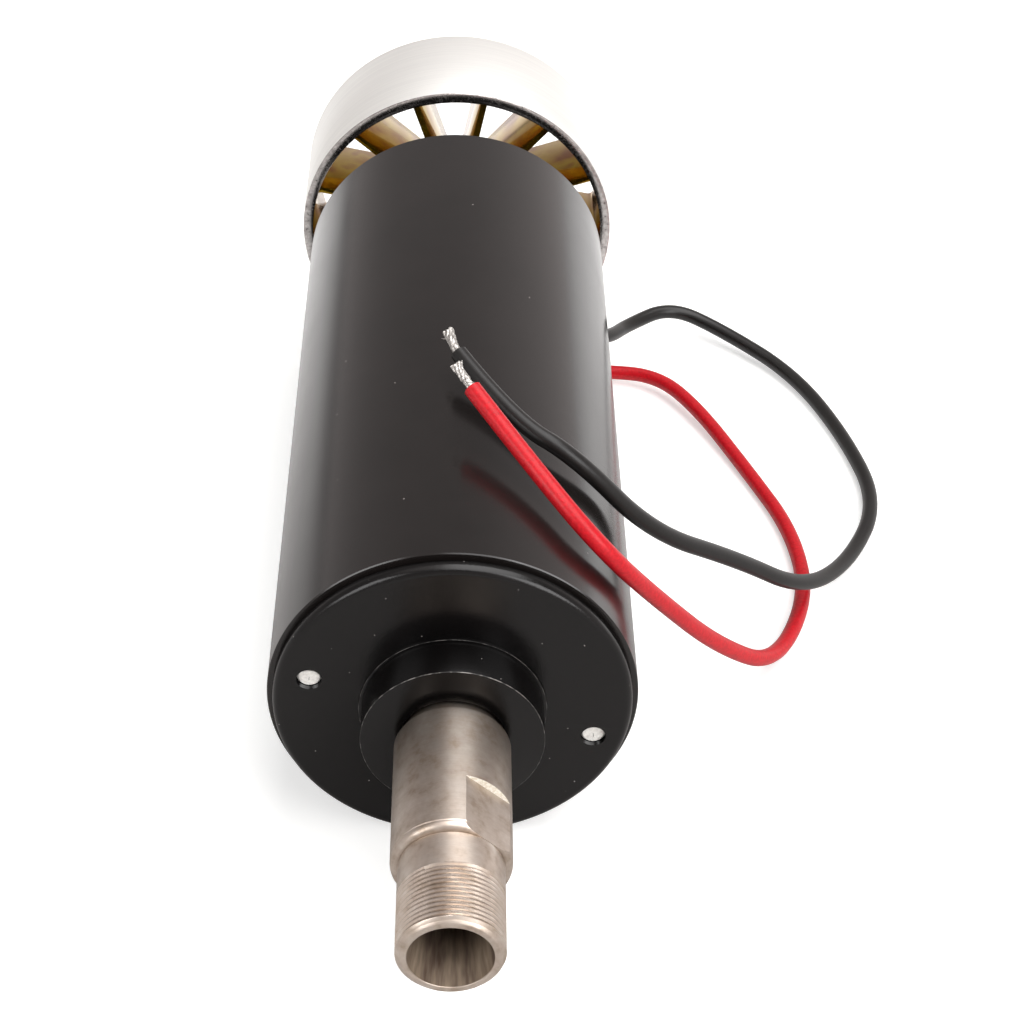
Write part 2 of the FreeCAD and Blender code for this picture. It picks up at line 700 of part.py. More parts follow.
def brush_plate():
    plate = sleeve(TUBE_BORE_R - PLATE_CLEARANCE, PLATE_BORE_R, PLATE_FRONT, REAR_SPIGOT)
    for angle in BOLT_ANGLES:
        x, z = polar(BOLT_CIRCLE_R, angle)
        plate = plate.cut(rod(BOLT_HOLE_R, PLATE_FRONT - SLACK, REAR_SPIGOT + SLACK, x, z))
    return plate


def brush_terminal(angle, outer_r):
    half = TERMINAL_WIDTH / 2
    top = LEAD_Y + LEAD_R
    tab = block(-half, half, REAR_SPIGOT, top, outer_r - TERMINAL_THICKNESS, outer_r)
    return spin(tab, angle)


def magnet(angle):
    return sector(MAGNET_R, MAGNET_FACE_R,
                  angle - MAGNET_HALF_ANGLE, angle + MAGNET_HALF_ANGLE,
                  MAGNET_START, MAGNET_END)


def fan_impeller():
    """Ducted axial fan: hub, straight radial blades and outer ring in one."""
    ring_bore = RING_R - RING_WALL
    fan = rod(RING_R, FAN_FRONT, FAN_REAR)
    rims = circles(fan, RING_R, FAN_FRONT) + circles(fan, RING_R, FAN_REAR)
    fan = fan.makeChamfer(RING_EDGE, rims)
    half_step = 180.0 / BLADES
    window = sector(ring_bore, HUB_R, -half_step, half_step, FAN_FRONT - SLACK, FAN_REAR + SLACK)
    half_blade = BLADE_THICKNESS / 2
    side = block(-half_blade, half_blade, FAN_FRONT - 2 * SLACK, FAN_REAR + 2 * SLACK,
                 0, RING_R)
    window = window.cut(spin(side, -half_step)).cut(spin(side, half_step))
    corners = [e for e in window.Edges
               if isinstance(e.Curve, Part.Line) and e.Length > RING_LENGTH]
    window = window.makeFillet(BLADE_ROOT, corners)
    for i in range(BLADES):
        fan = fan.cut(spin(window, BLADE_PHASE + half_step + 360.0 * i / BLADES))
    fan = fan.cut(sleeve(ring_bore, HUB_R, FAN_FRONT - SLACK, BLADE_FRONT))
    fan = fan.cut(rod(HUB_R + SLACK, FAN_FRONT - SLACK, HUB_FRONT))
    fan = fan.cut(rod(HUB_SINK_R, HUB_SEAT, FAN_REAR + SLACK))
    return fan.cut(rod(REAR_BORE_R, FAN_FRONT, FAN_REAR))


def fan_spacer():
    return sleeve(SPACER_R, REAR_BORE_R, REAR_RACE_END, HUB_FRONT)


def fan_washer():
    hole_r = SCREW_R + FAN_WASHER_CLEARANCE
    return sleeve(FAN_WASHER_R, hole_r, HUB_SEAT, HUB_SEAT + FAN_WASHER_THICKNESS)


def fan_screw():
    seat = HUB_SEAT + FAN_WASHER_THICKNESS
    shank_start = SHAFT_REAR - SCREW_LENGTH + SHAFT_END_GAP
    screw = rod(SCREW_R, shank_start, seat)
    head = rod(SCREW_HEAD_R, seat, seat + SCREW_HEAD_HEIGHT)
    socket_start = seat + SCREW_HEAD_HEIGHT - SOCKET_DEPTH
    socket = hexagon(SOCKET_ACROSS, socket_start, seat + SCREW_HEAD_HEIGHT + SLACK)
    return screw.fuse(head.cut(socket)).removeSplitter()


def lead_grommet(angle):
    """Rubber bush round a lead where it leaves the rear cover's rim."""
    up = vec(0, 0, 1)
    inner = POCKET_OUTER_R - GROMMET_INNER_REACH
    outer = COVER_R + GROMMET_LIP
    bush = Part.makeCylinder(GROMMET_R, outer - inner, vec(0, LEAD_Y, inner), up)
    lip = Part.makeCylinder(GROMMET_LIP_R, GROMMET_LIP, vec(0, LEAD_Y, COVER_R), up)
    bore = Part.makeCylinder(LEAD_R + GROMMET_FIT, outer, vec(0, LEAD_Y, SLACK), up)
    return spin(bush.fuse(lip).cut(bore).removeSplitter(), angle)


def lead(name, points):
    """Tube along straight runs joined by tangent arcs."""
    edges = []
    here = points[0]
    for i in range(1, len(points) - 1):
        before, corner, after = points[i - 1], points[i], points[i + 1]
        arriving = corner - before
        leaving = after - corner
        shorter = min(arriving.Length, leaving.Length)
        turn = arriving.getAngle(leaving)
        tangent = ARC_SHARE * shorter
        radius = tangent / math.tan(turn / 2)
        arriving.normalize()
        leaving.normalize()
        start = corner - arriving * tangent
        end = corner + leaving * tangent
        bisector = leaving - arriving
        bisector.normalize()
        centre = corner + bisector * (radius / math.cos(turn / 2))
        inward = corner - centre
        inward.normalize()
        middle = centre + inward * radius
        edges.append(Part.LineSegment(here, start).toShape())
        edges.append(Part.Arc(start, middle, end).toShape())
        here = end
        print(name, "point", i, "turn", round(math.degrees(turn)), "radius", round(radius, 1))
    edges.append(Part.LineSegment(here, points[-1]).toShape())
    path = Part.Wire(edges)
    direction = points[1] - points[0]
    section = Part.Wire(Part.Circle(points[0], direction, LEAD_R).toShape())
    tube = path.makePipeShell([section], True, False)
    expected = math.pi * LEAD_R ** 2 * path.Length
    print(name, "volume", round(tube.Volume, 1), "section times length", round(expected, 1))
    return tube


def lead_tip(points, length):
    direction = points[-1] - points[-2]
    return Part.makeCylinder(TIP_R, length, points[-1], direction)


def route(angle, start_r, points):
    x, z = polar(start_r, angle)
    return [vec(x, LEAD_Y, z)] + [vec(*point) for point in points]


nodes = {}
nodes["housing_tube"] = housing_tube()
nodes["front_cover"] = front_cover()
nodes["rear_cover"] = rear_cover()
nodes["tie_bolts"] = Part.makeCompound([tie_bolt(a) for a in BOLT_ANGLES])
nodes["tie_bolt_washers"] = Part.makeCompound([bolt_washer(a) for a in BOLT_ANGLES])
nodes["magnet_north"] = magnet(MAGNET_ANGLES[0])
nodes["magnet_south"] = magnet(MAGNET_ANGLES[1])

front_bearing = bearing(FRONT_RACE, FRONT_WIDTH, FRONT_BORE_R, FRONT_OUTER_R,
                        FRONT_BALL_R, FRONT_BALLS)
nodes["front_bearing_inner_race"] = front_bearing[0]
nodes["front_bearing_outer_race"] = front_bearing[1]
nodes["front_bearing_balls"] = front_bearing[2]
nodes["front_bearing_cage"] = front_bearing[3]
nodes["front_bearing_shields"] = front_bearing[4]
rear_bearing = bearing(REAR_RACE, REAR_WIDTH, REAR_BORE_R, REAR_OUTER_R,
                       REAR_BALL_R, REAR_BALLS)
nodes["rear_bearing_inner_race"] = rear_bearing[0]
nodes["rear_bearing_outer_race"] = rear_bearing[1]
nodes["rear_bearing_balls"] = rear_bearing[2]
nodes["rear_bearing_cage"] = rear_bearing[3]
nodes["rear_bearing_shields"] = rear_bearing[4]
nodes["bearing_circlip"] = circlip()
nodes["wave_washer"] = wave_washer()

nodes["collet_chuck"] = collet_chuck()
nodes["motor_shaft"] = motor_shaft()
nodes["armature_core"] = slotted_disc(CORE_R, CORE_FRONT, CORE_REAR)
nodes["end_insulators"] = end_insulators()
nodes["armature_winding"] = armature_winding()
nodes["commutator_hub"] = commutator_hub()
nodes["commutator_bars"] = commutator_bars()

nodes["carbon_brush_top"] = carbon_brush(BRUSH_ANGLES[0])
nodes["carbon_brush_bottom"] = carbon_brush(BRUSH_ANGLES[1])
nodes["brush_spring_top"] = brush_spring(BRUSH_ANGLES[0])
nodes["brush_spring_bottom"] = brush_spring(BRUSH_ANGLES[1])
nodes["brush_holders"] = Part.makeCompound([brush_holder(a) for a in BRUSH_ANGLES])
nodes["brush_plate"] = brush_plate()
nodes["brush_terminals"] = Part.makeCompound([
    brush_terminal(BLACK_ANGLE, BLACK_START_R),
    brush_terminal(RED_ANGLE, RED_START_R),
])

nodes["fan_impeller"] = fan_impeller()
nodes["fan_spacer"] = fan_spacer()
nodes["fan_washer"] = fan_washer()
nodes["fan_screw"] = fan_screw()

black_points = route(BLACK_ANGLE, BLACK_START_R, BLACK_ROUTE)
red_points = route(RED_ANGLE, RED_START_R, RED_ROUTE)
nodes["lead_grommets"] = Part.makeCompound([lead_grommet(BLACK_ANGLE), lead_grommet(RED_ANGLE)])
nodes["black_lead"] = lead("black_lead", black_points)
nodes["red_lead"] = lead("red_lead", red_points)
nodes["black_lead_tip"] = lead_tip(black_points, BLACK_TIP_LENGTH)
nodes["red_lead_tip"] = lead_tip(red_points, RED_TIP_LENGTH)

for name, shape in nodes.items():
    if not shape.isValid():
        print("not valid:", name)
    shape.exportStep("parts/" + name + ".step")
print(len(nodes), "nodes")
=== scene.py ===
import math
import random

import bmesh
import bpy
from mathutils import Matrix, Vector


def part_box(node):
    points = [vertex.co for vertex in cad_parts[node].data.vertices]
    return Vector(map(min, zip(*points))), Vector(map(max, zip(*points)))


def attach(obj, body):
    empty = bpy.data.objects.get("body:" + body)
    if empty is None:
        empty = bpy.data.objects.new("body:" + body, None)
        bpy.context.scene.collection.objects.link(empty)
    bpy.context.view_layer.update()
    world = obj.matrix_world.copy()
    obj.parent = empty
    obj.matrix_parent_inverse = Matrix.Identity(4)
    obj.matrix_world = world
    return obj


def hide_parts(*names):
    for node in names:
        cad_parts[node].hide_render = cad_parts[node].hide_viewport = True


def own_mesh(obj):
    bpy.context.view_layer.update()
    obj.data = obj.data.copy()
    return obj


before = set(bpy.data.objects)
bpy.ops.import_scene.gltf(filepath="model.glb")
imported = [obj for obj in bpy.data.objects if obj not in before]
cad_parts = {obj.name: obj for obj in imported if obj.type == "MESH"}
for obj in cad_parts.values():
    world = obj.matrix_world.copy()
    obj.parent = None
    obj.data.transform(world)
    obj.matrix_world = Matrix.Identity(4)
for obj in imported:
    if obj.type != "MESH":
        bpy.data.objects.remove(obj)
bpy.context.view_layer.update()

# Motor spindle: the looks of a brushed spindle motor with a collet chuck nose.
# Metres, in the frame of the solids: +Y runs along the motor axis from the
# front cover to the fan, +Z is up, and the motor lies on its side.

MM = 0.001
ORIGIN = (0.0, 0.0, 0.0)

# Sizes read from the solids
tube_low, tube_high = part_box("housing_tube")
cover_low, cover_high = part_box("front_cover")
chuck_low, chuck_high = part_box("collet_chuck")
fan_low, fan_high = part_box("fan_impeller")
TUBE_R = tube_high.x
TUBE_FRONT = tube_low.y
TUBE_REAR = tube_high.y
CHUCK_R = chuck_high.x
NOSE_END = chuck_low.y
CHUCK_TAIL = chuck_high.y
BOSS_FRONT = cover_low.y
COVER_BACK = cover_high.y
RING_R = fan_high.x
FAN_FRONT = fan_low.y
FAN_REAR = fan_high.y

# Sizes of single features: those of the solids, and those of the thread, the
# grooves and the worn edges, which only this model has
TUBE_BORE_R = 24.0 * MM
TUBE_BEVEL = 0.15 * MM
COVER_R = 25.15 * MM
COVER_EDGE = 1.2 * MM
COVER_BACK_BEVEL = 0.5 * MM
SPIGOT_R = 23.95 * MM
BOSS_R = 12.7 * MM
BOSS_FOOT_R = 13.1 * MM
BOSS_FOOT = -0.45 * MM
BOSS_WEAR = 0.08 * MM
HOLE_EDGE = 0.03 * MM
CHUCK_HOLE_R = 7.4 * MM
COVER_WEB = 2.4 * MM
BEARING_SEAT = 3.0 * MM
BEARING_R = 14.0 * MM
RELIEF_R = 12.3 * MM
BOLT_CIRCLE_R = 20.5 * MM
BOLT_ANGLES = (-75.4, 104.6)
HOLE_R = 1.75 * MM
HOLE_THREAD_PITCH = 0.7 * MM
HOLE_THREAD_DEPTH = 0.3 * MM

NECK_R = 7.0 * MM
CHUCK_STEP = -30.2 * MM
CHUCK_BEVEL = 1.0 * MM
CHUCK_SHOULDER = -8.0 * MM
CHUCK_SHOULDER_BEVEL = 0.3 * MM
CHUCK_TAIL_R = 6.9 * MM
NOSE_BEVEL = 0.7 * MM
NOSE_RIM = 0.12 * MM
MOUTH_R = 5.5 * MM
TAPER_LENGTH = 12.5 * MM
COLLET_BORE_R = 3.743 * MM
COLLET_BORE_LENGTH = 10.0 * MM
CHUCK_SOCKET_R = 4.0 * MM
CHUCK_SOCKET = -19.0 * MM
FLAT_ACROSS = 14.0 * MM
FLAT_LENGTH = 9.2 * MM
FLAT_ANGLE = 42.0
FLAT_EDGE = 0.07 * MM
SHOULDER_GROOVE = 0.13 * MM
STEP_UNDERCUT = 0.1 * MM
SHOULDER_STEPS = 6
THREAD_PITCH = 0.75 * MM
THREAD_DEPTH = 0.42 * MM
THREAD_END = -35.5 * MM

RING_WALL = 1.8 * MM
RING_FRONT_EDGES = (0.22 * MM, 0.12 * MM)
RING_REAR_EDGES = (0.25 * MM, 0.15 * MM)
RING_FACE = 0.24 * MM
BLADES = 12
BLADE_THICKNESS = 1.1 * MM
BLADE_PHASE = 11.4
BLADE_FRONT = 133.2 * MM
BLADE_ROOT = 0.9 * MM
BLADE_ROOT_STEPS = 5
BLADE_REAR_GAP = 0.3 * MM
BLADE_EDGE = 0.08 * MM
HUB_R = 7.2 * MM
HUB_FRONT = 131.0 * MM
HUB_SINK_R = 5.6 * MM
HUB_SEAT = 145.0 * MM
HUB_BORE_R = 4.0 * MM
HUB_EDGE = 0.2 * MM
ROOT_SINK = 0.25 * MM

# Leads: the routes are those of the solids
LEAD_DIAMETER = 2.6 * MM
BLACK_ROUTE = [
    (0.0174, 0.1196, -0.0117),
    (0.0258, 0.1196, -0.0174),
    (0.0290, 0.1232, -0.0197),
    (0.0325, 0.1310, -0.0225),
    (0.0414, 0.1386, -0.0229),
    (0.0511, 0.1340, -0.0251),
    (0.0639, 0.1206, -0.0262),
    (0.0710, 0.1006, -0.0263),
    (0.0739, 0.0801, -0.0253),
    (0.0664, 0.0626, -0.0245),
    (0.0563, 0.0482, -0.0182),
    (0.0436, 0.0392, -0.0047),
    (0.0289, 0.0289, 0.0086),
    (0.0172, 0.0268, 0.0239),
    (0.0082, 0.0314, 0.0269),
    (0.0004, 0.0428, 0.0306),
]
RED_ROUTE = [
    (0.0115, 0.1196, -0.0171),
    (0.0172, 0.1196, -0.0255),
    (0.0275, 0.1206, -0.0259),
    (0.0378, 0.1180, -0.0250),
    (0.0446, 0.1077, -0.0251),
    (0.0521, 0.0900, -0.0261),
    (0.0580, 0.0725, -0.0256),
    (0.0586, 0.0540, -0.0249),
    (0.0510, 0.0359, -0.0238),
    (0.0399, 0.0255, -0.0104),
    (0.0294, 0.0164, 0.0062),
    (0.0212, 0.0101, 0.0195),
    (0.0129, 0.0165, 0.0264),
    (0.0023, 0.0305, 0.0330),
]
TIP_R = 0.72 * MM
BLACK_TIP_LENGTH = 4.7 * MM
RED_TIP_LENGTH = 4.9 * MM
WIRES = 8
WIRE_R = TIP_R / 2.45
WIRE_SPANS = 7
WIRE_SINK = 0.4 * MM
SPIKE_ENDS = (0.2 * MM, 0.09 * MM)
SPIKE_LENGTH = 1.8 * MM
LUMP_SIZE = 0.5 * MM
LUMP_HEIGHT = 0.22 * MM

# The photograph's view, found from the object's own circles
CAMERA_PLACE = (-0.00033, -0.23281, 0.21763)
CAMERA_RIGHT = (0.99961, -0.01451, 0.02389)
CAMERA_UP = (-0.00983, 0.61764, 0.78640)
CAMERA_BACK = (-0.02616, -0.78633, 0.61725)
CAMERA_LENS = 80.14

# Facets round the turned pieces, the radius that stands for their poles, and
# the distances within which places are taken as the same
STEPS = 192
FINE_STEPS = 128
RING_STEPS = 256
HOLE_STEPS = 40
THREAD_STEPS = 72
POLE_R = 0.02 * MM
SLACK = 0.02 * MM
WELD_GAP = 0.001 * MM


# Camera

def make_camera():
    columns = [Vector(CAMERA_RIGHT), Vector(CAMERA_UP), Vector(CAMERA_BACK)]
    turn = Matrix(columns).transposed().to_4x4()
    bpy.ops.object.camera_add()
    camera = bpy.context.object
    camera.matrix_world = Matrix.Translation(CAMERA_PLACE) @ turn
    camera.data.lens = CAMERA_LENS
    camera.data.clip_start = 0.01
    camera.data.clip_end = 50.0
    bpy.context.scene.camera = camera


make_camera()


# Helpers for materials

def hex_colour(text):
    """Linear colour of an sRGB hex value."""
    channels = []
    for i in (0, 2, 4):
        value = int(text[i:i + 2], 16) / 255
        low = value <= 0.04045
        channels.append(value / 12.92 if low else ((value + 0.055) / 1.055) ** 2.4)
    return (*channels, 1.0)


def per_mm(size):
    """Texture scale that gives a pattern of that size in millimetres."""
    return 1.0 / (size * MM)


def add(tree, kind, inputs=None, stops=None, **settings):
    """One shader node with its settings, colour stops and links."""
    node = tree.nodes.new(kind)
    for name, value in settings.items():
        setattr(node, name, value)
    for name, value in (inputs or {}).items():
        socket = node.inputs[name]
        if isinstance(value, bpy.types.NodeSocket):
            tree.links.new(value, socket)
        else:
            socket.default_value = value
    for i, (place, colour) in enumerate(stops or []):
        ramp = node.color_ramp.elements
        stop = ramp[i] if i < 2 else ramp.new(place)
        stop.position = place
        stop.color = colour
    return node


def start_material(name):
    """An empty material: its node tree and the Object coordinates."""
    material = bpy.data.materials.new(name)
    material.use_nodes = True
    tree = material.node_tree
    tree.nodes.clear()
    coordinates = add(tree, "ShaderNodeTexCoord")
    return material, tree, coordinates.outputs["Object"]


def finish_material(tree, inputs):
    shader = add(tree, "ShaderNodeBsdfPrincipled", inputs)
    add(tree, "ShaderNodeOutputMaterial", {"Surface": shader.outputs["BSDF"]})


def grey(value):
    return (value, value, value, 1.0)


# Helpers for modelling

def deselect():
    bpy.ops.object.select_all(action="DESELECT")


def activate(piece):
    deselect()
    piece.select_set(True)
    bpy.context.view_layer.objects.active = piece


def named(name):
    piece = bpy.context.object
    piece.name = name
    piece.data.name = name
    return piece


def settle(piece):
    """Puts a piece's place, turn and scale into its mesh."""
    activate(piece)
    bpy.ops.object.transform_apply(location=True, rotation=True, scale=True)


def edit(piece):
    activate(piece)
    bpy.ops.object.mode_set(mode="EDIT")
    bpy.ops.mesh.select_all(action="DESELECT")


def leave():
    bpy.ops.object.mode_set(mode="OBJECT")


def pick(piece, test, kind="EDGE"):
    """Selects the edges or faces, all of whose corners pass."""
    bpy.ops.mesh.select_mode(type=kind)
    mesh = bmesh.from_edit_mesh(piece.data)
    for part in mesh.faces if kind == "FACE" else mesh.edges:
        part.select = all(test(corner.co) for corner in part.verts)
    bmesh.update_edit_mesh(piece.data)


def assign(piece, slot, test):
    """Gives the faces whose corners all pass the material of that slot."""
    edit(piece)
    pick(piece, test, "FACE")
    piece.active_material_index = slot
    bpy.ops.object.material_slot_assign()
    leave()


def set_materials(piece, *materials):
    piece.data.materials.clear()
    for material in materials:
        piece.data.materials.append(material)


def join(pieces):
    """One piece of several: the first one keeps them all."""
    deselect()
    for piece in pieces:
        piece.select_set(True)
    bpy.context.view_layer.objects.active = pieces[0]
    bpy.ops.object.convert(target="MESH")
    bpy.ops.object.join()
    return bpy.context.object


def axis_distance(place):
    return math.hypot(place.x, place.z)


def on_ring(radius, y, slack=SLACK):
    """Test for places on a circle round the motor axis."""
    def test(place):
        return abs(axis_distance(place) - radius) < slack and abs(place.y - y) < slack
    return test


def polar(radius, angle):
    turn = math.radians(angle)
    return radius * math.sin(turn), radius * math.cos(turn)


def weld(piece):
    edit(piece)
    bpy.ops.mesh.select_all(action="SELECT")
    bpy.ops.mesh.remove_doubles(threshold=WELD_GAP)
    bpy.ops.mesh.normals_make_consistent(inside=False)
    leave()


def turned(name, outline, steps=STEPS):
    """Solid turned about the motor axis from a closed (radius, y) outline."""
    radius, y = outline[0]
    bpy.ops.mesh.primitive_circle_add(vertices=steps, radius=radius, location=(0, y, 0),
                                      rotation=(math.pi / 2, 0, 0))
    piece = named(name)
    settle(piece)
    edit(piece)
    bpy.ops.mesh.select_all(action="SELECT")
    for next_radius, next_y in outline[1:] + outline[:1]:
        bpy.ops.mesh.extrude_edges_move(
            TRANSFORM_OT_translate={"value": (0, next_y - y, 0)})
        share = next_radius / radius
        bpy.ops.transform.resize(value=(share, 1, share), center_override=(0, next_y, 0))
        radius, y = next_radius, next_y
    leave()
    weld(piece)
    return piece


def round_ring(piece, radius, y, width, segments=4):
    """Rounds a sharp circle about the motor axis."""
    edit(piece)
    pick(piece, on_ring(radius, y))
    bpy.ops.mesh.bevel(offset=width, segments=segments, profile=0.5, affect="EDGES")
    leave()


def apply_modifier(piece, kind, **settings):
    modifier = piece.modifiers.new(kind.lower(), kind)
    for name, value in settings.items():
        setattr(modifier, name, value)
    activate(piece)
    bpy.ops.object.modifier_apply(modifier=modifier.name)


def carve(piece, cutter, operation="DIFFERENCE"):
    apply_modifier(piece, "BOOLEAN", object=cutter, operation=operation, solver="EXACT")
    bpy.data.objects.remove(cutter)


def smooth(piece, angle=32.0):
    activate(piece)
    bpy.ops.object.shade_smooth_by_angle(angle=math.radians(angle))


def thread_cutter(name, root_r, outer_r, pitch, turns):
    """Helical V along +Y: a three-sided tool swept round by the Screw modifier."""
    bpy.ops.mesh.primitive_circle_add(vertices=3, radius=1.0, location=(0, 0, 0))
    piece = named(name)
    half = pitch * 0.49
    corners = [(root_r, 0.0), (outer_r, -half), (outer_r, half)]
    for vertex, (x, y) in zip(piece.data.vertices, corners):
        vertex.co = (x, y, 0.0)
    edit(piece)
    bpy.ops.mesh.select_all(action="SELECT")
    bpy.ops.mesh.edge_face_add()
    leave()
    apply_modifier(piece, "SCREW", axis="Y", angle=2 * math.pi, screw_offset=pitch,
                   iterations=turns, steps=THREAD_STEPS, render_steps=THREAD_STEPS,
                   use_normal_calculate=True)
    edit(piece)
    bpy.ops.mesh.select_all(action="SELECT")
    bpy.ops.mesh.remove_doubles(threshold=WELD_GAP)
    bpy.ops.mesh.fill_holes(sides=3)
    bpy.ops.mesh.select_all(action="SELECT")
    bpy.ops.mesh.normals_make_consistent(inside=False)
    leave()
    return piece


def rod_curve(name, route, radius, resolution, rings):
    """A round rod along a smooth curve, with closed ends."""
    curve = bpy.data.curves.new(name, "CURVE")
    curve.dimensions = "3D"
    spline = curve.splines.new("NURBS")
    spline.points.add(len(route) - 1)
    for point, place in zip(spline.points, route):
        point.co = (*place, 1.0)
    spline.order_u = 3
    spline.use_endpoint_u = True
    spline.resolution_u = resolution
    curve.bevel_depth = radius
    curve.bevel_resolution = rings
    curve.use_fill_caps = True
    piece = bpy.data.objects.new(name, curve)
    bpy.context.scene.collection.objects.link(piece)
    return piece


# Materials

def painted_tube():
    """Black electro-coat on steel tube: semi-gloss, so it mirrors the room
    softly, with fine orange peel, a little dust and faint rub marks."""
    material, tree, place = start_material("semi_gloss_black_coating")
    peel = add(tree, "ShaderNodeTexNoise", {"Vector": place, "Scale": per_mm(0.45),
                                            "Detail": 2.0, "Roughness": 0.6})
    cloud = add(tree, "ShaderNodeTexNoise", {"Vector": place, "Scale": per_mm(14.0),
                                             "Detail": 4.0, "Roughness": 0.6})
    base = add(tree, "ShaderNodeValToRGB", {"Fac": cloud.outputs["Fac"]},
               stops=[(0.3, hex_colour("151211")), (0.7, hex_colour("1a1615"))])
    specks = add(tree, "ShaderNodeTexVoronoi", {"Vector": place, "Scale": per_mm(5.0)})
    dust = add(tree, "ShaderNodeMath", {0: specks.outputs["Distance"], 1: 0.024},
               operation="LESS_THAN")
    dusted = add(tree, "ShaderNodeMix", {"Factor": dust.outputs["Value"],
                                         "A": base.outputs["Color"],
                                         "B": hex_colour("8f8884")},
                 data_type="RGBA")
    gloss = add(tree, "ShaderNodeMapRange", {"Value": cloud.outputs["Fac"], "From Min": 0.3,
                                             "From Max": 0.7, "To Min": 0.17, "To Max": 0.22})
    bump = add(tree, "ShaderNodeBump", {"Height": peel.outputs["Fac"], "Strength": 0.25,
                                        "Distance": 0.006 * MM})
    finish_material(tree, {"Base Color": dusted.outputs["Result"],
                           "Roughness": gloss.outputs["Result"],
                           "Normal": bump.outputs["Normal"], "IOR": 1.5})
    return material


def painted_cover():
    """Black enamel on the machined cover: satin, with a fine sandy grain that
    shows in the highlight along the edge, and small pale specks."""
    material, tree, place = start_material("black_enamel_paint")
    grain = add(tree, "ShaderNodeTexNoise", {"Vector": place, "Scale": per_mm(0.3),
                                             "Detail": 3.0, "Roughness": 0.65})
    specks = add(tree, "ShaderNodeTexVoronoi", {"Vector": place, "Scale": per_mm(2.6)})
    dust = add(tree, "ShaderNodeMath", {0: specks.outputs["Distance"], 1: 0.036},
               operation="LESS_THAN")
    base = add(tree, "ShaderNodeMix", {"Factor": dust.outputs["Value"],
                                       "A": hex_colour("080707"), "B": hex_colour("8a8582")},
               data_type="RGBA")
    bump = add(tree, "ShaderNodeBump", {"Height": grain.outputs["Fac"], "Strength": 0.6,
                                        "Distance": 0.025 * MM})
    gloss = add(tree, "ShaderNodeMapRange", {"Value": grain.outputs["Fac"], "From Min": 0.3,
                                             "From Max": 0.7, "To Min": 0.17, "To Max": 0.24})
    finish_material(tree, {"Base Color": base.outputs["Result"],
                           "Roughness": gloss.outputs["Result"],
                           "Specular IOR Level": 0.34,
                           "Normal": bump.outputs["Normal"]})
    return material


def worn_edge():
    """Cover's sharp edges, where the enamel is rubbed through to bright steel
    in a broken hairline."""
    material, tree, place = start_material("enamel_rubbed_to_steel")
    wear = add(tree, "ShaderNodeTexNoise", {"Vector": place, "Scale": per_mm(1.1),
                                            "Detail": 4.0, "Roughness": 0.7})
    bare = add(tree, "ShaderNodeValToRGB", {"Fac": wear.outputs["Fac"]},
               stops=[(0.47, grey(0.0)), (0.61, grey(1.0))])
    colour = add(tree, "ShaderNodeMix", {"Factor": bare.outputs["Color"],
                                         "A": hex_colour("121110"), "B": hex_colour("827f7c")},
                 data_type="RGBA")
    steel = add(tree, "ShaderNodeMath", {0: bare.outputs["Color"], 1: 0.85},
                operation="MULTIPLY")
    finish_material(tree, {"Base Color": colour.outputs["Result"],
                           "Metallic": steel.outputs["Value"], "Roughness": 0.38})
    return material


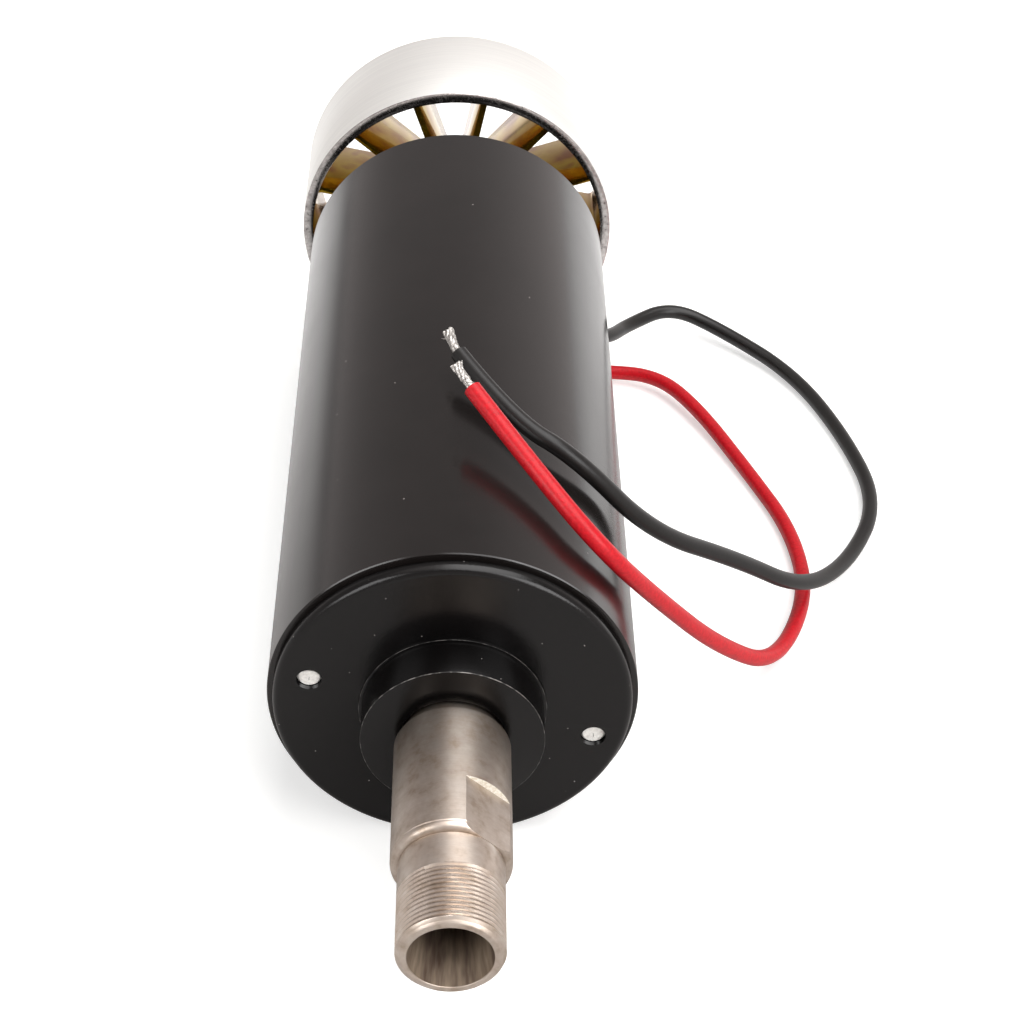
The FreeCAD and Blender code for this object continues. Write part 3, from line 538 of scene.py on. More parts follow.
def turned_steel(name, anisotropic, roughness, grooved):
    """Ground and turned tool steel: silvery beige, with fine rings round the
    axis from the tool, which stretch each reflection into a band along it;
    painted shade makes it darker towards the cover and lighter at the front.
    Grooved: painted shade darkens the roots of a thread, and a painted
    highlight lightens its crests."""
    material, tree, place = start_material(name)
    rings = add(tree, "ShaderNodeMapping", {"Vector": place, "Scale": (0.03, 1.0, 0.03)})
    cut = add(tree, "ShaderNodeTexNoise", {"Vector": rings.outputs["Vector"],
                                           "Scale": per_mm(0.16), "Detail": 3.0,
                                           "Roughness": 0.6})
    cloud = add(tree, "ShaderNodeTexNoise", {"Vector": place, "Scale": per_mm(2.4),
                                             "Detail": 4.0, "Roughness": 0.6})
    tone = add(tree, "ShaderNodeValToRGB", {"Fac": cloud.outputs["Fac"]},
               stops=[(0.3, hex_colour("a99a8b")), (0.46, hex_colour("bdb0a4")),
                      (0.7, hex_colour("cbc1b7"))])
    line = add(tree, "ShaderNodeMapRange", {"Value": cut.outputs["Fac"], "From Min": 0.3,
                                            "From Max": 0.7, "To Min": 0.93, "To Max": 1.03})
    shade = add(tree, "ShaderNodeMix", {"Factor": 1.0, "A": tone.outputs["Color"],
                                        "B": line.outputs["Result"]},
                data_type="RGBA", blend_type="MULTIPLY")
    across = add(tree, "ShaderNodeVectorMath", {0: place, 1: (1.0, 0.0, 1.0)},
                 operation="MULTIPLY")
    radius = add(tree, "ShaderNodeVectorMath", {0: across.outputs["Vector"]},
                 operation="LENGTH")
    # Painted shade in the thread roots, painted highlight on the crests
    root = add(tree, "ShaderNodeMapRange", {"Value": radius.outputs["Value"],
                                            "From Min": NECK_R - THREAD_DEPTH,
                                            "From Max": NECK_R - 0.14 * MM,
                                            "To Min": 0.25 if grooved else 1.0,
                                            "To Max": 1.15 if grooved else 1.0})
    along = add(tree, "ShaderNodeSeparateXYZ", {"Vector": place})
    # Painted shade: darker towards the cover, lighter at the front
    painted_cover_shade = add(tree, "ShaderNodeMapRange", {"Value": along.outputs["Y"],
                                             "From Min": CHUCK_STEP - 4.0 * MM,
                                             "From Max": CHUCK_SHOULDER,
                                             "To Min": 1.12, "To Max": 0.66})
    painted_shade = add(tree, "ShaderNodeMath", {0: root.outputs["Result"],
                                        1: painted_cover_shade.outputs["Result"]}, operation="MULTIPLY")
    shaded_tone = add(tree, "ShaderNodeMix", {"Factor": 1.0, "A": shade.outputs["Result"],
                                        "B": painted_shade.outputs["Value"]},
                data_type="RGBA", blend_type="MULTIPLY")
    gloss = add(tree, "ShaderNodeMapRange", {"Value": cloud.outputs["Fac"], "From Min": 0.3,
                                             "From Max": 0.7, "To Min": roughness * 1.12,
                                             "To Max": roughness * 0.96})
    bump = add(tree, "ShaderNodeBump", {"Height": cut.outputs["Fac"], "Strength": 0.08,
                                        "Distance": 0.005 * MM})
    round_axis = add(tree, "ShaderNodeTangent", direction_type="RADIAL", axis="Y")
    finish_material(tree, {"Base Color": shaded_tone.outputs["Result"], "Metallic": 1.0,
                           "Roughness": gloss.outputs["Result"],
                           "Anisotropic": anisotropic, "Anisotropic Rotation": 0.25,
                           "Tangent": round_axis.outputs["Tangent"],
                           "Normal": bump.outputs["Normal"]})
    return material


def honed_bore():
    """Inside of the collet seat: steel under dried brown oil, with streaks
    along the axis from the collets that slid in it, and painted shade that
    darkens it deeper into the bore."""
    material, tree, place = start_material("oily_honed_steel")
    streaks = add(tree, "ShaderNodeMapping", {"Vector": place, "Scale": (1.0, 0.05, 1.0)})
    rub = add(tree, "ShaderNodeTexNoise", {"Vector": streaks.outputs["Vector"],
                                           "Scale": per_mm(1.7), "Detail": 3.0,
                                           "Roughness": 0.6})
    tone = add(tree, "ShaderNodeValToRGB", {"Fac": rub.outputs["Fac"]},
               stops=[(0.36, hex_colour("65544a")), (0.64, hex_colour("a89682"))])
    depth = add(tree, "ShaderNodeSeparateXYZ", {"Vector": place})
    # Painted shade: darker deeper into the bore
    shade = add(tree, "ShaderNodeMapRange", {"Value": depth.outputs["Y"],
                                             "From Min": NOSE_END + 2.0 * MM,
                                             "From Max": NOSE_END + 13.0 * MM,
                                             "To Min": 1.0, "To Max": 0.12})
    deep_shaded_tone = add(tree, "ShaderNodeMix", {"Factor": 1.0, "A": tone.outputs["Color"],
                                        "B": shade.outputs["Result"]},
                data_type="RGBA", blend_type="MULTIPLY")
    finish_material(tree, {"Base Color": deep_shaded_tone.outputs["Result"], "Metallic": 0.35,
                           "Roughness": 0.36})
    return material


def painted_highlight_steel():
    """End wall of a wrench flat: steel with the milling cutter's arcs, painted near white as a
    painted highlight.
    """
    material, tree, place = start_material("painted_highlight_tool_steel")
    marks = add(tree, "ShaderNodeTexNoise", {"Vector": place, "Scale": per_mm(0.35),
                                             "Detail": 3.0})
    tone = add(tree, "ShaderNodeValToRGB", {"Fac": marks.outputs["Fac"]},
               stops=[(0.35, hex_colour("e3dac8")), (0.6, hex_colour("fbf7ee"))])
    finish_material(tree, {"Base Color": tone.outputs["Color"], "Metallic": 0.3,
                           "Roughness": 0.45})
    return material


def turned_aluminium():
    """Outside of the fan ring: freshly turned bright aluminium, almost white,
    with faint tool rings."""
    material, tree, place = start_material("bright_turned_aluminium")
    rings = add(tree, "ShaderNodeMapping", {"Vector": place, "Scale": (0.01, 1.0, 0.01)})
    cut = add(tree, "ShaderNodeTexNoise", {"Vector": rings.outputs["Vector"],
                                           "Scale": per_mm(0.3), "Detail": 3.0})
    tone = add(tree, "ShaderNodeValToRGB", {"Fac": cut.outputs["Fac"]},
               stops=[(0.3, hex_colour("efeeeb")), (0.7, hex_colour("f7f6f2"))])
    finish_material(tree, {"Base Color": tone.outputs["Color"], "Metallic": 0.7,
                           "Roughness": 0.5})
    return material


def raw_edge():
    """Front edge of the fan ring: aluminium left as it was sawn, smooth but
    with small dark pits and chips, so it mirrors the tube dark at the top."""
    material, tree, place = start_material("raw_pitted_aluminium")
    pits = add(tree, "ShaderNodeTexNoise", {"Vector": place, "Scale": per_mm(0.8),
                                            "Detail": 8.0, "Roughness": 0.75})
    tone = add(tree, "ShaderNodeValToRGB", {"Fac": pits.outputs["Fac"]},
               stops=[(0.33, hex_colour("1b191a")), (0.4, hex_colour("a8a4a2")),
                      (0.6, hex_colour("d9d5d3"))])
    gloss = add(tree, "ShaderNodeMapRange", {"Value": pits.outputs["Fac"], "From Min": 0.33,
                                             "From Max": 0.45, "To Min": 0.6, "To Max": 0.2})
    bump = add(tree, "ShaderNodeBump", {"Height": pits.outputs["Fac"], "Strength": 0.4,
                                        "Distance": 0.03 * MM})
    finish_material(tree, {"Base Color": tone.outputs["Color"], "Metallic": 1.0,
                           "Roughness": gloss.outputs["Result"],
                           "Normal": bump.outputs["Normal"]})
    return material


def gold_chromate():
    """Fan blades and the ring's inside: aluminium with a yellow chromate
    coat, glossy olive gold at the front with brown clouds, thinning to a
    pinkish silver towards the rear."""
    material, tree, place = start_material("yellow_chromated_aluminium")
    cloud = add(tree, "ShaderNodeTexNoise", {"Vector": place, "Scale": per_mm(6.0),
                                             "Detail": 2.0, "Roughness": 0.5})
    gold = add(tree, "ShaderNodeValToRGB", {"Fac": cloud.outputs["Fac"]},
               stops=[(0.32, hex_colour("7e4a08")), (0.45, hex_colour("98720c")),
                      (0.58, hex_colour("a4861e")), (0.7, hex_colour("8c6018"))])
    depth = add(tree, "ShaderNodeSeparateXYZ", {"Vector": place})
    uneven = add(tree, "ShaderNodeMath", {0: cloud.outputs["Fac"], 1: 4.0 * MM,
                                          2: depth.outputs["Y"]}, operation="MULTIPLY_ADD")
    thin = add(tree, "ShaderNodeMapRange", {"Value": uneven.outputs["Value"],
                                            "From Min": BLADE_FRONT + 4.0 * MM,
                                            "From Max": FAN_REAR, "To Min": 0.0,
                                            "To Max": 0.1})
    tone = add(tree, "ShaderNodeMix", {"Factor": thin.outputs["Result"],
                                       "A": gold.outputs["Color"],
                                       "B": hex_colour("ddd0c8")}, data_type="RGBA")
    grain = add(tree, "ShaderNodeTexNoise", {"Vector": place, "Scale": per_mm(0.25),
                                             "Detail": 3.0})
    bump = add(tree, "ShaderNodeBump", {"Height": grain.outputs["Fac"], "Strength": 0.15,
                                        "Distance": 0.01 * MM})
    finish_material(tree, {"Base Color": tone.outputs["Result"], "Metallic": 0.85,
                           "Roughness": 0.1, "Normal": bump.outputs["Normal"]})
    return material


def lead_rubber(name, low, high, specular):
    """Silicone rubber on a flexible lead: nearly matte, with a faint grain
    from extrusion."""
    material, tree, place = start_material(name)
    grain = add(tree, "ShaderNodeTexNoise", {"Vector": place, "Scale": per_mm(0.5),
                                             "Detail": 4.0, "Roughness": 0.6})
    tone = add(tree, "ShaderNodeValToRGB", {"Fac": grain.outputs["Fac"]},
               stops=[(0.35, hex_colour(low)), (0.65, hex_colour(high))])
    bump = add(tree, "ShaderNodeBump", {"Height": grain.outputs["Fac"], "Strength": 0.3,
                                        "Distance": 0.02 * MM})
    finish_material(tree, {"Base Color": tone.outputs["Color"], "Roughness": 0.38,
                           "Specular IOR Level": specular,
                           "Normal": bump.outputs["Normal"]})
    return material


def metal(name, low, high, roughness, grain=0.4, stretch=(1.0, 1.0, 1.0)):
    """Plain metal of a hidden or small piece, with its grain or tool marks."""
    material, tree, place = start_material(name)
    turn = add(tree, "ShaderNodeMapping", {"Vector": place, "Scale": stretch})
    marks = add(tree, "ShaderNodeTexNoise", {"Vector": turn.outputs["Vector"],
                                             "Scale": per_mm(grain), "Detail": 4.0,
                                             "Roughness": 0.6})
    tone = add(tree, "ShaderNodeValToRGB", {"Fac": marks.outputs["Fac"]},
               stops=[(0.3, hex_colour(low)), (0.7, hex_colour(high))])
    gloss = add(tree, "ShaderNodeMapRange", {"Value": marks.outputs["Fac"], "From Min": 0.3,
                                             "From Max": 0.7, "To Min": roughness * 0.8,
                                             "To Max": roughness * 1.2})
    bump = add(tree, "ShaderNodeBump", {"Height": marks.outputs["Fac"], "Strength": 0.3,
                                        "Distance": 0.01 * MM})
    finish_material(tree, {"Base Color": tone.outputs["Color"], "Metallic": 1.0,
                           "Roughness": gloss.outputs["Result"],
                           "Normal": bump.outputs["Normal"]})
    return material


def moulded(name, low, high, roughness, grain=0.5):
    """Plain dull piece, mottled as it is moulded, pressed or bloomed."""
    material, tree, place = start_material(name)
    marks = add(tree, "ShaderNodeTexNoise", {"Vector": place, "Scale": per_mm(grain),
                                             "Detail": 4.0, "Roughness": 0.6})
    tone = add(tree, "ShaderNodeValToRGB", {"Fac": marks.outputs["Fac"]},
               stops=[(0.3, hex_colour(low)), (0.7, hex_colour(high))])
    bump = add(tree, "ShaderNodeBump", {"Height": marks.outputs["Fac"], "Strength": 0.3,
                                        "Distance": 0.02 * MM})
    finish_material(tree, {"Base Color": tone.outputs["Color"], "Roughness": roughness,
                           "Normal": bump.outputs["Normal"]})
    return material


# Stretches a grain round the motor axis
RINGS = (0.02, 1.0, 0.02)

tube_coating = painted_tube()
cover_paint = painted_cover()
edge_wear = worn_edge()
nose_steel = turned_steel("turned_tool_steel", 0.35, 0.38, False)
thread_steel = turned_steel("thread_cut_tool_steel", 0.1, 0.24, True)
bore_steel = honed_bore()
highlit_wall_steel = painted_highlight_steel()
ring_aluminium = turned_aluminium()
ring_edge = raw_edge()
fan_gold = gold_chromate()
black_rubber = lead_rubber("black_silicone_rubber", "0c0b0a", "151312", 0.4)
red_rubber = lead_rubber("red_silicone_rubber", "b00f1a", "c91521", 0.3)
tinned_copper = metal("tinned_copper_strand", "8f8c88", "d2cfcb", 0.42, 0.35)
zinc_plate = metal("bright_zinc_plate", "a9a8a6", "d0cfcc", 0.3, 0.3)
bolt_zinc = moulded("white_bloomed_zinc_plate", "cfcac5", "f4f1ec", 0.35, 0.5)
ball_steel = metal("polished_bearing_steel", "b8b8ba", "d2d2d4", 0.12, 0.6, RINGS)
cage_brass = metal("pressed_cage_brass", "a88345", "c8a25c", 0.35)
sheet_brass = metal("rolled_sheet_brass", "b08a48", "cfa960", 0.32, 0.6)
spring_wire = metal("drawn_spring_steel", "8a8a8c", "aeaeb0", 0.25, 0.3)
lamination = metal("stamped_silicon_steel", "6e6e72", "8c8c90", 0.45, 0.5, RINGS)
enamelled_wire = metal("enamelled_copper_wire", "8a3f1c", "b8622e", 0.3, 0.5, (1.0, 0.05, 1.0))
bar_copper = metal("turned_commutator_copper", "a05a34", "c87c50", 0.3, 0.2, RINGS)
ferrite = moulded("sintered_ferrite", "1c1c1e", "2a2a2c", 0.7)
carbon = moulded("pressed_brush_carbon", "121213", "222223", 0.6, 0.3)
resin = moulded("phenolic_moulding_resin", "2e170c", "43230f", 0.4, 0.7)
insulator = moulded("vulcanised_fibre", "a99c80", "c4b899", 0.7, 0.4)
grommet_rubber = moulded("black_grommet_rubber", "111111", "1d1d1d", 0.65, 0.4)

NODE_MATERIALS = {
    "rear_cover": cover_paint,
    "tie_bolts": bolt_zinc,
    "tie_bolt_washers": zinc_plate,
    "magnet_north": ferrite,
    "magnet_south": ferrite,
    "front_bearing_inner_race": ball_steel,
    "front_bearing_outer_race": ball_steel,
    "front_bearing_balls": ball_steel,
    "front_bearing_cage": cage_brass,
    "front_bearing_shields": ball_steel,
    "rear_bearing_inner_race": ball_steel,
    "rear_bearing_outer_race": ball_steel,
    "rear_bearing_balls": ball_steel,
    "rear_bearing_cage": cage_brass,
    "rear_bearing_shields": ball_steel,
    "bearing_circlip": spring_wire,
    "wave_washer": spring_wire,
    "motor_shaft": nose_steel,
    "armature_core": lamination,
    "end_insulators": insulator,
    "armature_winding": enamelled_wire,
    "commutator_hub": resin,
    "commutator_bars": bar_copper,
    "carbon_brush_top": carbon,
    "carbon_brush_bottom": carbon,
    "brush_spring_top": spring_wire,
    "brush_spring_bottom": spring_wire,
    "brush_holders": sheet_brass,
    "brush_plate": resin,
    "brush_terminals": sheet_brass,
    "fan_spacer": nose_steel,
    "fan_washer": zinc_plate,
    "fan_screw": zinc_plate,
    "lead_grommets": grommet_rubber,
}

for node, material in NODE_MATERIALS.items():
    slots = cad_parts[node].data.materials
    slots.clear()
    slots.append(material)

# Each brush spring gets a mesh of its own
for side in ("top", "bottom"):
    node = "brush_spring_" + side
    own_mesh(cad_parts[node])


# Leads

def lead(colour, route, rubber):
    """A lead as one smooth curve along its route, with cut square ends."""
    piece = rod_curve(colour + "_supply_lead", route, LEAD_DIAMETER / 2, 16, 7)
    set_materials(piece, rubber)
    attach(piece, "stator")
    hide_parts(colour + "_lead")


def strands(colour, route, length, seed, lean):
    """Bare end of a lead: strands fused by tin into a lumpy, flared stub."""
    name = colour + "_lead_strands"
    chance = random.Random(seed)
    start = Vector(route[-1])
    along = (start - Vector(route[-2])).normalized()
    side = along.orthogonal().normalized()
    other = along.cross(side)
    bend = Vector(lean) * length
    pieces = []
    for i in range(WIRES):
        reach = length * (chance.uniform(0.9, 1.0) if i else 0.8)
        places = []
        widths = []
        for k in range(WIRE_SPANS + 1):
            share = k / WIRE_SPANS
            flare = 0.95 + 0.35 * share ** 2 - 0.25 * math.sin(math.pi * share)
            radius = (WIRE_R * 1.7 if i else 0.0) * flare
            turn = 2 * math.pi * (i / (WIRES - 1) + 0.35 * share)
            wobble = chance.uniform(-0.2, 0.2) * WIRE_R
            place = start + along * (reach * share - WIRE_SINK * (1 - share))
            place = place + bend * share ** 2
            place = place + side * (radius * math.cos(turn) + wobble)
            place = place + other * (radius * math.sin(turn) - wobble)
            places.append(place)
            widths.append(chance.uniform(0.75, 1.25))
        wire = rod_curve(name + "_wire", places, WIRE_R, 12, 2)
        for point, width in zip(wire.data.splines[0].points, widths):
            point.radius = width
        pieces.append(wire)
    bpy.ops.mesh.primitive_cone_add(vertices=8, radius1=SPIKE_ENDS[0],
                                    radius2=SPIKE_ENDS[1], depth=SPIKE_LENGTH)
    spike = bpy.context.object
    out = (along * 0.8 + side * chance.choice((-0.6, 0.6)) + other * 0.3).normalized()
    spike.rotation_euler = out.to_track_quat("Z", "Y").to_euler()
    spike.location = start + along * (length * 0.62) + bend * 0.4 + out * 1.1 * MM
    join(pieces + [spike])
    tip = named(name)
    settle(tip)
    apply_modifier(tip, "REMESH", mode="VOXEL", voxel_size=0.06 * MM)
    apply_modifier(tip, "SMOOTH", factor=0.5, iterations=4)
    lumps = bpy.data.textures.new(name + "_lumps", "CLOUDS")
    lumps.noise_scale = LUMP_SIZE
    apply_modifier(tip, "DISPLACE", texture=lumps, strength=LUMP_HEIGHT, mid_level=0.5)
    smooth(tip, 60.0)
    set_materials(tip, tinned_copper)
    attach(tip, "stator")
    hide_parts(colour + "_lead_tip")
    return tip


black_tip = strands("black", BLACK_ROUTE, BLACK_TIP_LENGTH, 4, (0.19, 0.04, 0.05))
red_tip = strands("red", RED_ROUTE, RED_TIP_LENGTH, 9, (0.05, 0.0, 0.0))
lead("black", BLACK_ROUTE, black_rubber)
lead("red", RED_ROUTE, red_rubber)


# Housing tube

def housing_tube():
    tube = turned("housing_tube_shell", [
        (TUBE_BORE_R, TUBE_FRONT),
        (TUBE_R - TUBE_BEVEL, TUBE_FRONT),
        (TUBE_R, TUBE_FRONT + TUBE_BEVEL),
        (TUBE_R, TUBE_REAR - TUBE_BEVEL),
        (TUBE_R - TUBE_BEVEL, TUBE_REAR),
        (TUBE_BORE_R, TUBE_REAR),
    ])
    smooth(tube)
    set_materials(tube, tube_coating)
    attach(tube, "stator")
    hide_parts("housing_tube")


housing_tube()


# Front cover

def tapped_hole(angle):
    """Cutter for a tapped hole: a rod with V rings, which leave the thread."""
    x, z = polar(BOLT_CIRCLE_R, angle)
    axis_r = HOLE_R * 0.02
    y = -HOLE_THREAD_PITCH
    outline = [(axis_r, y), (HOLE_R, y)]
    while y < COVER_BACK + HOLE_THREAD_PITCH:
        outline.append((HOLE_R + HOLE_THREAD_DEPTH, y + HOLE_THREAD_PITCH / 2))
        outline.append((HOLE_R, y + HOLE_THREAD_PITCH))
        y = y + HOLE_THREAD_PITCH
    outline.append((axis_r, y))
    cutter = turned("hole_cutter", outline, HOLE_STEPS)
    cutter.location = (x, 0, z)
    settle(cutter)
    return cutter


def front_cover():
    cover = turned("front_cover_casting", [
        (CHUCK_HOLE_R, BOSS_FRONT),
        (BOSS_R, BOSS_FRONT),
        (BOSS_R, BOSS_FOOT),
        (BOSS_FOOT_R, BOSS_FOOT),
        (BOSS_FOOT_R, 0.0),
        (COVER_R, 0.0),
        (COVER_R, TUBE_FRONT),
        (SPIGOT_R, TUBE_FRONT),
        (SPIGOT_R, COVER_BACK),
        (BEARING_R, COVER_BACK),
        (BEARING_R, BEARING_SEAT),
        (RELIEF_R, BEARING_SEAT),
        (RELIEF_R, COVER_WEB),
        (CHUCK_HOLE_R, COVER_WEB),
    ])
    round_ring(cover, COVER_R, 0.0, COVER_EDGE, 8)
    round_ring(cover, COVER_R, TUBE_FRONT, COVER_BACK_BEVEL, 1)
    round_ring(cover, BOSS_R, BOSS_FRONT, BOSS_WEAR, 3)
    round_ring(cover, BOSS_FOOT_R, BOSS_FOOT, BOSS_WEAR / 2, 2)
    round_ring(cover, CHUCK_HOLE_R, BOSS_FRONT, HOLE_EDGE, 1)
    for angle in BOLT_ANGLES:
        carve(cover, tapped_hole(angle))
    set_materials(cover, cover_paint, edge_wear)
    at_foot = on_ring(BOSS_FOOT_R, BOSS_FOOT, BOSS_WEAR * 0.6)

    def rubbed(place):
        inward = BOSS_R - axis_distance(place)
        at_rim = -BOSS_WEAR * 0.1 < inward < BOSS_WEAR * 1.1
        return (at_rim and place.y < BOSS_FRONT + BOSS_WEAR * 1.1) or at_foot(place)

    assign(cover, 1, rubbed)
    smooth(cover)
    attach(cover, "stator")
    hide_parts("front_cover")


front_cover()


# Collet chuck with its thread

def collet_chuck():
    taper_end = NOSE_END + TAPER_LENGTH
    bore_end = taper_end + COLLET_BORE_LENGTH
    flat_end = CHUCK_STEP + FLAT_LENGTH
    rise = CHUCK_R - NECK_R - STEP_UNDERCUT
    shoulder = []
    for i in range(1, SHOULDER_STEPS + 1):
        turn = math.pi / 2 * i / SHOULDER_STEPS
        shoulder.append((NECK_R + STEP_UNDERCUT + rise * math.sin(turn),
                         CHUCK_STEP + CHUCK_BEVEL * (1 - math.cos(turn))))
    chuck = turned("collet_chuck_nose", [
        (POLE_R, bore_end),
        (COLLET_BORE_R, bore_end),
        (COLLET_BORE_R, taper_end),
        (MOUTH_R, NOSE_END),
        (NECK_R - NOSE_BEVEL, NOSE_END),
        (NECK_R, NOSE_END + NOSE_BEVEL),
        (NECK_R, CHUCK_STEP - STEP_UNDERCUT),
        (NECK_R - STEP_UNDERCUT, CHUCK_STEP - STEP_UNDERCUT / 2),
        (NECK_R - STEP_UNDERCUT, CHUCK_STEP),
        (NECK_R + STEP_UNDERCUT, CHUCK_STEP),
        *shoulder,
        (CHUCK_R - SHOULDER_GROOVE, shoulder[-1][1] + SHOULDER_GROOVE / 2),
        (CHUCK_R, shoulder[-1][1] + 1.8 * SHOULDER_GROOVE),
        (CHUCK_R, CHUCK_SHOULDER - CHUCK_SHOULDER_BEVEL),
        (CHUCK_R - CHUCK_SHOULDER_BEVEL, CHUCK_SHOULDER),
        (CHUCK_TAIL_R, CHUCK_SHOULDER),
        (CHUCK_TAIL_R, CHUCK_TAIL),
        (CHUCK_SOCKET_R, CHUCK_TAIL),
        (CHUCK_SOCKET_R, CHUCK_SOCKET),
        (POLE_R, CHUCK_SOCKET),
    ], FINE_STEPS)
    round_ring(chuck, MOUTH_R, NOSE_END, NOSE_RIM, 2)
    round_ring(chuck, NECK_R - NOSE_BEVEL, NOSE_END, NOSE_RIM, 2)
    for angle in (FLAT_ANGLE, FLAT_ANGLE + 180.0):
        x, z = polar(FLAT_ACROSS / 2 + CHUCK_R, angle)
        bpy.ops.mesh.primitive_cube_add(size=2, location=(x, flat_end - CHUCK_R, z),
                                        rotation=(0, math.radians(angle), 0),
                                        scale=(CHUCK_R, CHUCK_R, CHUCK_R))
        cutter = named("flat_cutter")
        settle(cutter)
        carve(chuck, cutter)
    apply_modifier(chuck, "BEVEL", width=FLAT_EDGE, segments=2, limit_method="ANGLE",
                   angle_limit=math.radians(24))
    turns = math.ceil((THREAD_END - NOSE_END) / THREAD_PITCH)
    tool = thread_cutter("thread_cutter", NECK_R - THREAD_DEPTH, NECK_R + 0.1 * MM,
                         THREAD_PITCH, turns)
    tool.location = (0, THREAD_END - turns * THREAD_PITCH, 0)
    settle(tool)
    carve(chuck, tool)
    set_materials(chuck, nose_steel, bore_steel, highlit_wall_steel, thread_steel)

    def in_bore(place):
        return axis_distance(place) < MOUTH_R and place.y < bore_end + MM

    def on_flat_end(place):
        return abs(place.y - flat_end) < SLACK

    def on_thread(place):
        behind_rim = place.y > NOSE_END + NOSE_BEVEL * 0.9
        outside = axis_distance(place) > MOUTH_R + 0.15 * MM
        return behind_rim and outside and place.y < THREAD_END + 0.05 * MM

    assign(chuck, 1, in_bore)
    # The flat's end walls: steel painted near white, a painted highlight
    assign(chuck, 2, on_flat_end)
    assign(chuck, 3, on_thread)
    smooth(chuck, 26.0)
    apply_modifier(chuck, "WEIGHTED_NORMAL", keep_sharp=True)
    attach(chuck, "rotor")
    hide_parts("collet_chuck")


collet_chuck()


# Fan

def fan_blade(index):
    """Straight blade, built at the top, flared at both roots, turned to its place."""
    ring_bore = RING_R - RING_WALL
    inner = HUB_R + BLADE_ROOT
    outer = ring_bore - BLADE_ROOT
    depth = FAN_REAR - BLADE_REAR_GAP - BLADE_FRONT
    bpy.ops.mesh.primitive_cube_add(
        size=1, location=(0, BLADE_FRONT + depth / 2, (inner + outer) / 2),
        scale=(BLADE_THICKNESS, depth, outer - inner))
    blade = named("fan_blade")
    settle(blade)
    for direction, start in ((1, outer), (-1, inner)):
        edit(blade)
        pick(blade, lambda place: abs(place.z - start) < SLACK, "FACE")
        width = BLADE_THICKNESS
        height = 0.0
        for k in range(1, BLADE_ROOT_STEPS + 1):
            turn = math.pi / 2 * k / BLADE_ROOT_STEPS
            next_width = BLADE_THICKNESS + 2 * BLADE_ROOT * (1 - math.cos(turn))
            next_height = BLADE_ROOT * math.sin(turn)
            bpy.ops.mesh.extrude_region_move(TRANSFORM_OT_translate={
                "value": (0, 0, direction * (next_height - height))})
            bpy.ops.transform.resize(value=(next_width / width, 1, 1),
                                     center_override=ORIGIN)
            width, height = next_width, next_height
        bpy.ops.mesh.extrude_region_move(TRANSFORM_OT_translate={
            "value": (0, 0, direction * ROOT_SINK)})
        leave()
    blade.rotation_euler = (0, math.radians(BLADE_PHASE + 360.0 * index / BLADES), 0)
    settle(blade)
    return blade


def fan():
    ring_bore = RING_R - RING_WALL
    impeller = turned("fan_impeller_casting", [
        (ring_bore, FAN_FRONT),
        (RING_R, FAN_FRONT),
        (RING_R, FAN_REAR),
        (ring_bore, FAN_REAR),
    ], RING_STEPS)
    for i, radius in enumerate((RING_R, ring_bore)):
        round_ring(impeller, radius, FAN_FRONT, RING_FRONT_EDGES[i], 2)
        round_ring(impeller, radius, FAN_REAR, RING_REAR_EDGES[i], 2)
    hub = turned("fan_hub", [
        (HUB_BORE_R, HUB_FRONT),
        (HUB_R, HUB_FRONT),
        (HUB_R, FAN_REAR),
        (HUB_SINK_R, FAN_REAR),
        (HUB_SINK_R, HUB_SEAT),
        (HUB_BORE_R, HUB_SEAT),
    ], FINE_STEPS)
    round_ring(hub, HUB_R, FAN_REAR, HUB_EDGE, 2)
    blade_set = join([fan_blade(index) for index in range(BLADES)])
    weld(blade_set)
    carve(blade_set, hub, "UNION")
    carve(impeller, blade_set, "UNION")
    apply_modifier(impeller, "BEVEL", width=BLADE_EDGE, segments=2, limit_method="ANGLE",
                   angle_limit=math.radians(50))
    set_materials(impeller, fan_gold, ring_aluminium, ring_edge)

    def outside(place):
        return axis_distance(place) > RING_R - SLACK

    def on_ring_face(place):
        at_ring = axis_distance(place) > ring_bore - SLACK
        return at_ring and place.y < FAN_FRONT + RING_FACE

    assign(impeller, 1, outside)
    assign(impeller, 2, on_ring_face)
    smooth(impeller)
    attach(impeller, "rotor")
    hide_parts("fan_impeller")


fan()


# Studio: pale floor, soft light, and the room that the gloss mirrors

FLOOR_SIZE = 4.0
TUBE_CONTACT = TUBE_FRONT + TUBE_BEVEL
FAN_CONTACT = FAN_FRONT + 0.25 * MM


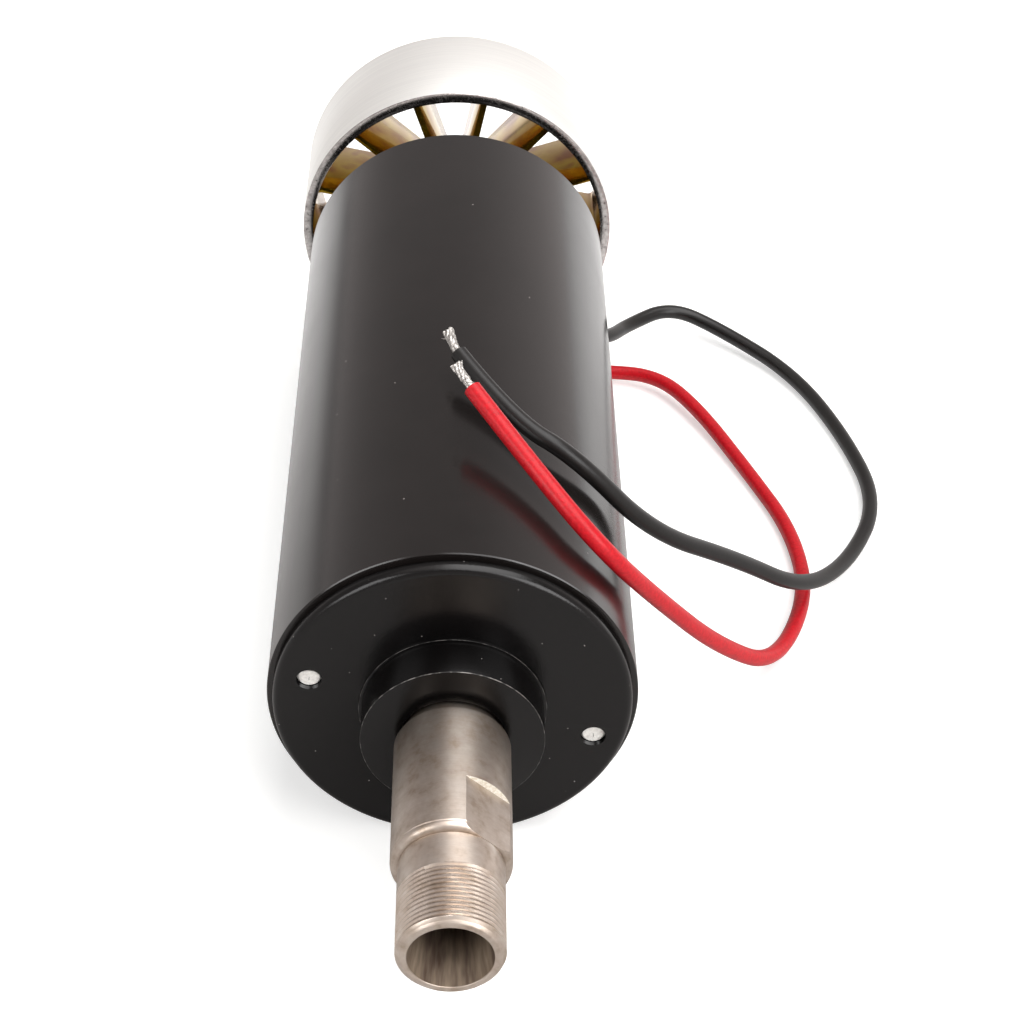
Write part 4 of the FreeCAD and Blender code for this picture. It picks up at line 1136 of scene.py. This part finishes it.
def floor_material():
    """Pale sheet: white to the camera, with the object's soft shadow. Mirrors
    see a greyer sheet with a painted glow towards the rear and the right, a
    painted reflection of the room, so it is darker in front and on the left,
    where the room is unlit."""
    material, tree, place = start_material("white_floor_sheet")
    rays = add(tree, "ShaderNodeLightPath")
    mirrored = rays.outputs["Is Glossy Ray"]
    spot = add(tree, "ShaderNodeSeparateXYZ", {"Vector": place})
    # Painted reflection: a glow seen only in mirrors, brighter towards the rear and the right
    lean = add(tree, "ShaderNodeMath", {0: spot.outputs["Y"], 1: 0.35,
                                        2: spot.outputs["X"]}, operation="MULTIPLY_ADD")
    side = add(tree, "ShaderNodeMapRange", {"Value": lean.outputs["Value"],
                                            "From Min": -0.12, "From Max": 0.0,
                                            "To Min": 0.1, "To Max": 1.0})
    rear = add(tree, "ShaderNodeMapRange", {"Value": spot.outputs["Y"], "From Min": 0.02,
                                            "From Max": 0.2, "To Min": 0.0,
                                            "To Max": 0.9})
    sheen = add(tree, "ShaderNodeMath", {0: side.outputs["Result"],
                                         1: rear.outputs["Result"]}, operation="MULTIPLY")
    # Mirrors see a greyer sheet, painted shade in the reflection
    paper = add(tree, "ShaderNodeMix", {"Factor": mirrored, "A": hex_colour("e6e5e3"),
                                        "B": hex_colour("bab6b4")}, data_type="RGBA")
    shown = add(tree, "ShaderNodeMath", {0: rays.outputs["Is Camera Ray"],
                                         1: rays.outputs["Is Transmission Ray"]},
                operation="MAXIMUM")
    glow = add(tree, "ShaderNodeMath", {0: shown.outputs["Value"], 1: 0.5},
               operation="MULTIPLY")
    gleam = add(tree, "ShaderNodeMath", {0: mirrored, 1: sheen.outputs["Value"],
                                         2: glow.outputs["Value"]},
                operation="MULTIPLY_ADD")
    shader = add(tree, "ShaderNodeBsdfPrincipled", {
        "Base Color": paper.outputs["Result"], "Roughness": 0.9, "Specular IOR Level": 0.1,
        "Emission Color": (1.0, 1.0, 1.0, 1.0), "Emission Strength": gleam.outputs["Value"]})
    add(tree, "ShaderNodeOutputMaterial", {"Surface": shader.outputs["BSDF"]})
    return material


def make_floor():
    rise = fan_low.z - tube_low.z
    slope = math.atan2(rise, FAN_CONTACT - TUBE_CONTACT)
    height = tube_low.z - math.tan(slope) * TUBE_CONTACT
    bpy.ops.mesh.primitive_plane_add(size=FLOOR_SIZE, location=(0, 0, height - 0.02 * MM),
                                     rotation=(slope, 0, 0))
    floor = named("studio_floor")
    set_materials(floor, floor_material())


def make_world():
    """Room light: white to the camera. Mirrors see a warm pale wall, brighter
    on the right, that darkens upwards below a bright ceiling panel."""
    world = bpy.data.worlds.new("studio_world")
    world.use_nodes = True
    bpy.context.scene.world = world
    tree = world.node_tree
    tree.nodes.clear()
    place = add(tree, "ShaderNodeTexCoord")
    way = add(tree, "ShaderNodeSeparateXYZ", {"Vector": place.outputs["Generated"]})
    left = add(tree, "ShaderNodeValToRGB", {"Fac": way.outputs["Z"]},
               stops=[(0.0, grey(0.74)), (0.1, grey(0.62)), (0.25, grey(0.5)), (0.45, grey(0.45)),
                      (0.62, grey(0.37)), (0.8, grey(0.45)), (0.95, grey(1.3))])
    right = add(tree, "ShaderNodeValToRGB", {"Fac": way.outputs["Z"]},
                stops=[(0.0, grey(1.0)), (0.18, grey(0.83)), (0.4, grey(0.68)),
                       (0.5, grey(0.6)), (0.62, grey(0.4)), (0.8, grey(0.5)),
                       (0.95, grey(1.3))])
    turn = add(tree, "ShaderNodeMapRange", {"Value": way.outputs["X"], "From Min": -0.35,
                                            "From Max": 0.35, "To Min": 0.0, "To Max": 1.0})
    wall = add(tree, "ShaderNodeMix", {"Factor": turn.outputs["Result"],
                                       "A": left.outputs["Color"],
                                       "B": right.outputs["Color"]}, data_type="RGBA")
    warm = add(tree, "ShaderNodeMix", {"Factor": 1.0, "A": wall.outputs["Result"],
                                       "B": (1.0, 0.92, 0.9, 1.0)},
               data_type="RGBA", blend_type="MULTIPLY")
    rays = add(tree, "ShaderNodeLightPath")
    room = add(tree, "ShaderNodeMix", {"Factor": rays.outputs["Is Glossy Ray"],
                                       "A": grey(0.26), "B": warm.outputs["Result"]},
               data_type="RGBA")
    seen = add(tree, "ShaderNodeMath", {0: rays.outputs["Is Camera Ray"],
                                        1: rays.outputs["Is Transmission Ray"]},
               operation="MAXIMUM")
    backdrop = add(tree, "ShaderNodeMix", {"Factor": seen.outputs["Value"],
                                           "A": room.outputs["Result"], "B": grey(1.0)},
                   data_type="RGBA")
    light = add(tree, "ShaderNodeBackground", {"Color": backdrop.outputs["Result"],
                                               "Strength": 1.0})
    add(tree, "ShaderNodeOutputWorld", {"Surface": light.outputs["Background"]})


def soft_light(name, place, target, width, height, power):
    bpy.ops.object.light_add(type="AREA", location=place)
    lamp = bpy.context.object
    lamp.name = name
    lamp.data.shape = "RECTANGLE"
    lamp.data.size = width
    lamp.data.size_y = height
    lamp.data.energy = power
    aim = Vector(target) - Vector(place)
    lamp.rotation_euler = aim.to_track_quat("-Z", "Y").to_euler()


make_floor()
make_world()
soft_light("overhead_softbox", (0.3, -0.1, 1.0), (0.0, -0.1, 0.0), 1.6, 0.8, 14.0)
soft_light("right_softbox", (0.6, -0.55, 0.45), (0.0, 0.0, 0.0), 0.5, 0.5, 4.5)
soft_light("left_softbox", (-0.6, -0.5, 0.45), (0.0, 0.0, 0.0), 0.4, 0.5, 3.0)

bpy.context.scene.view_settings.view_transform = "Standard"
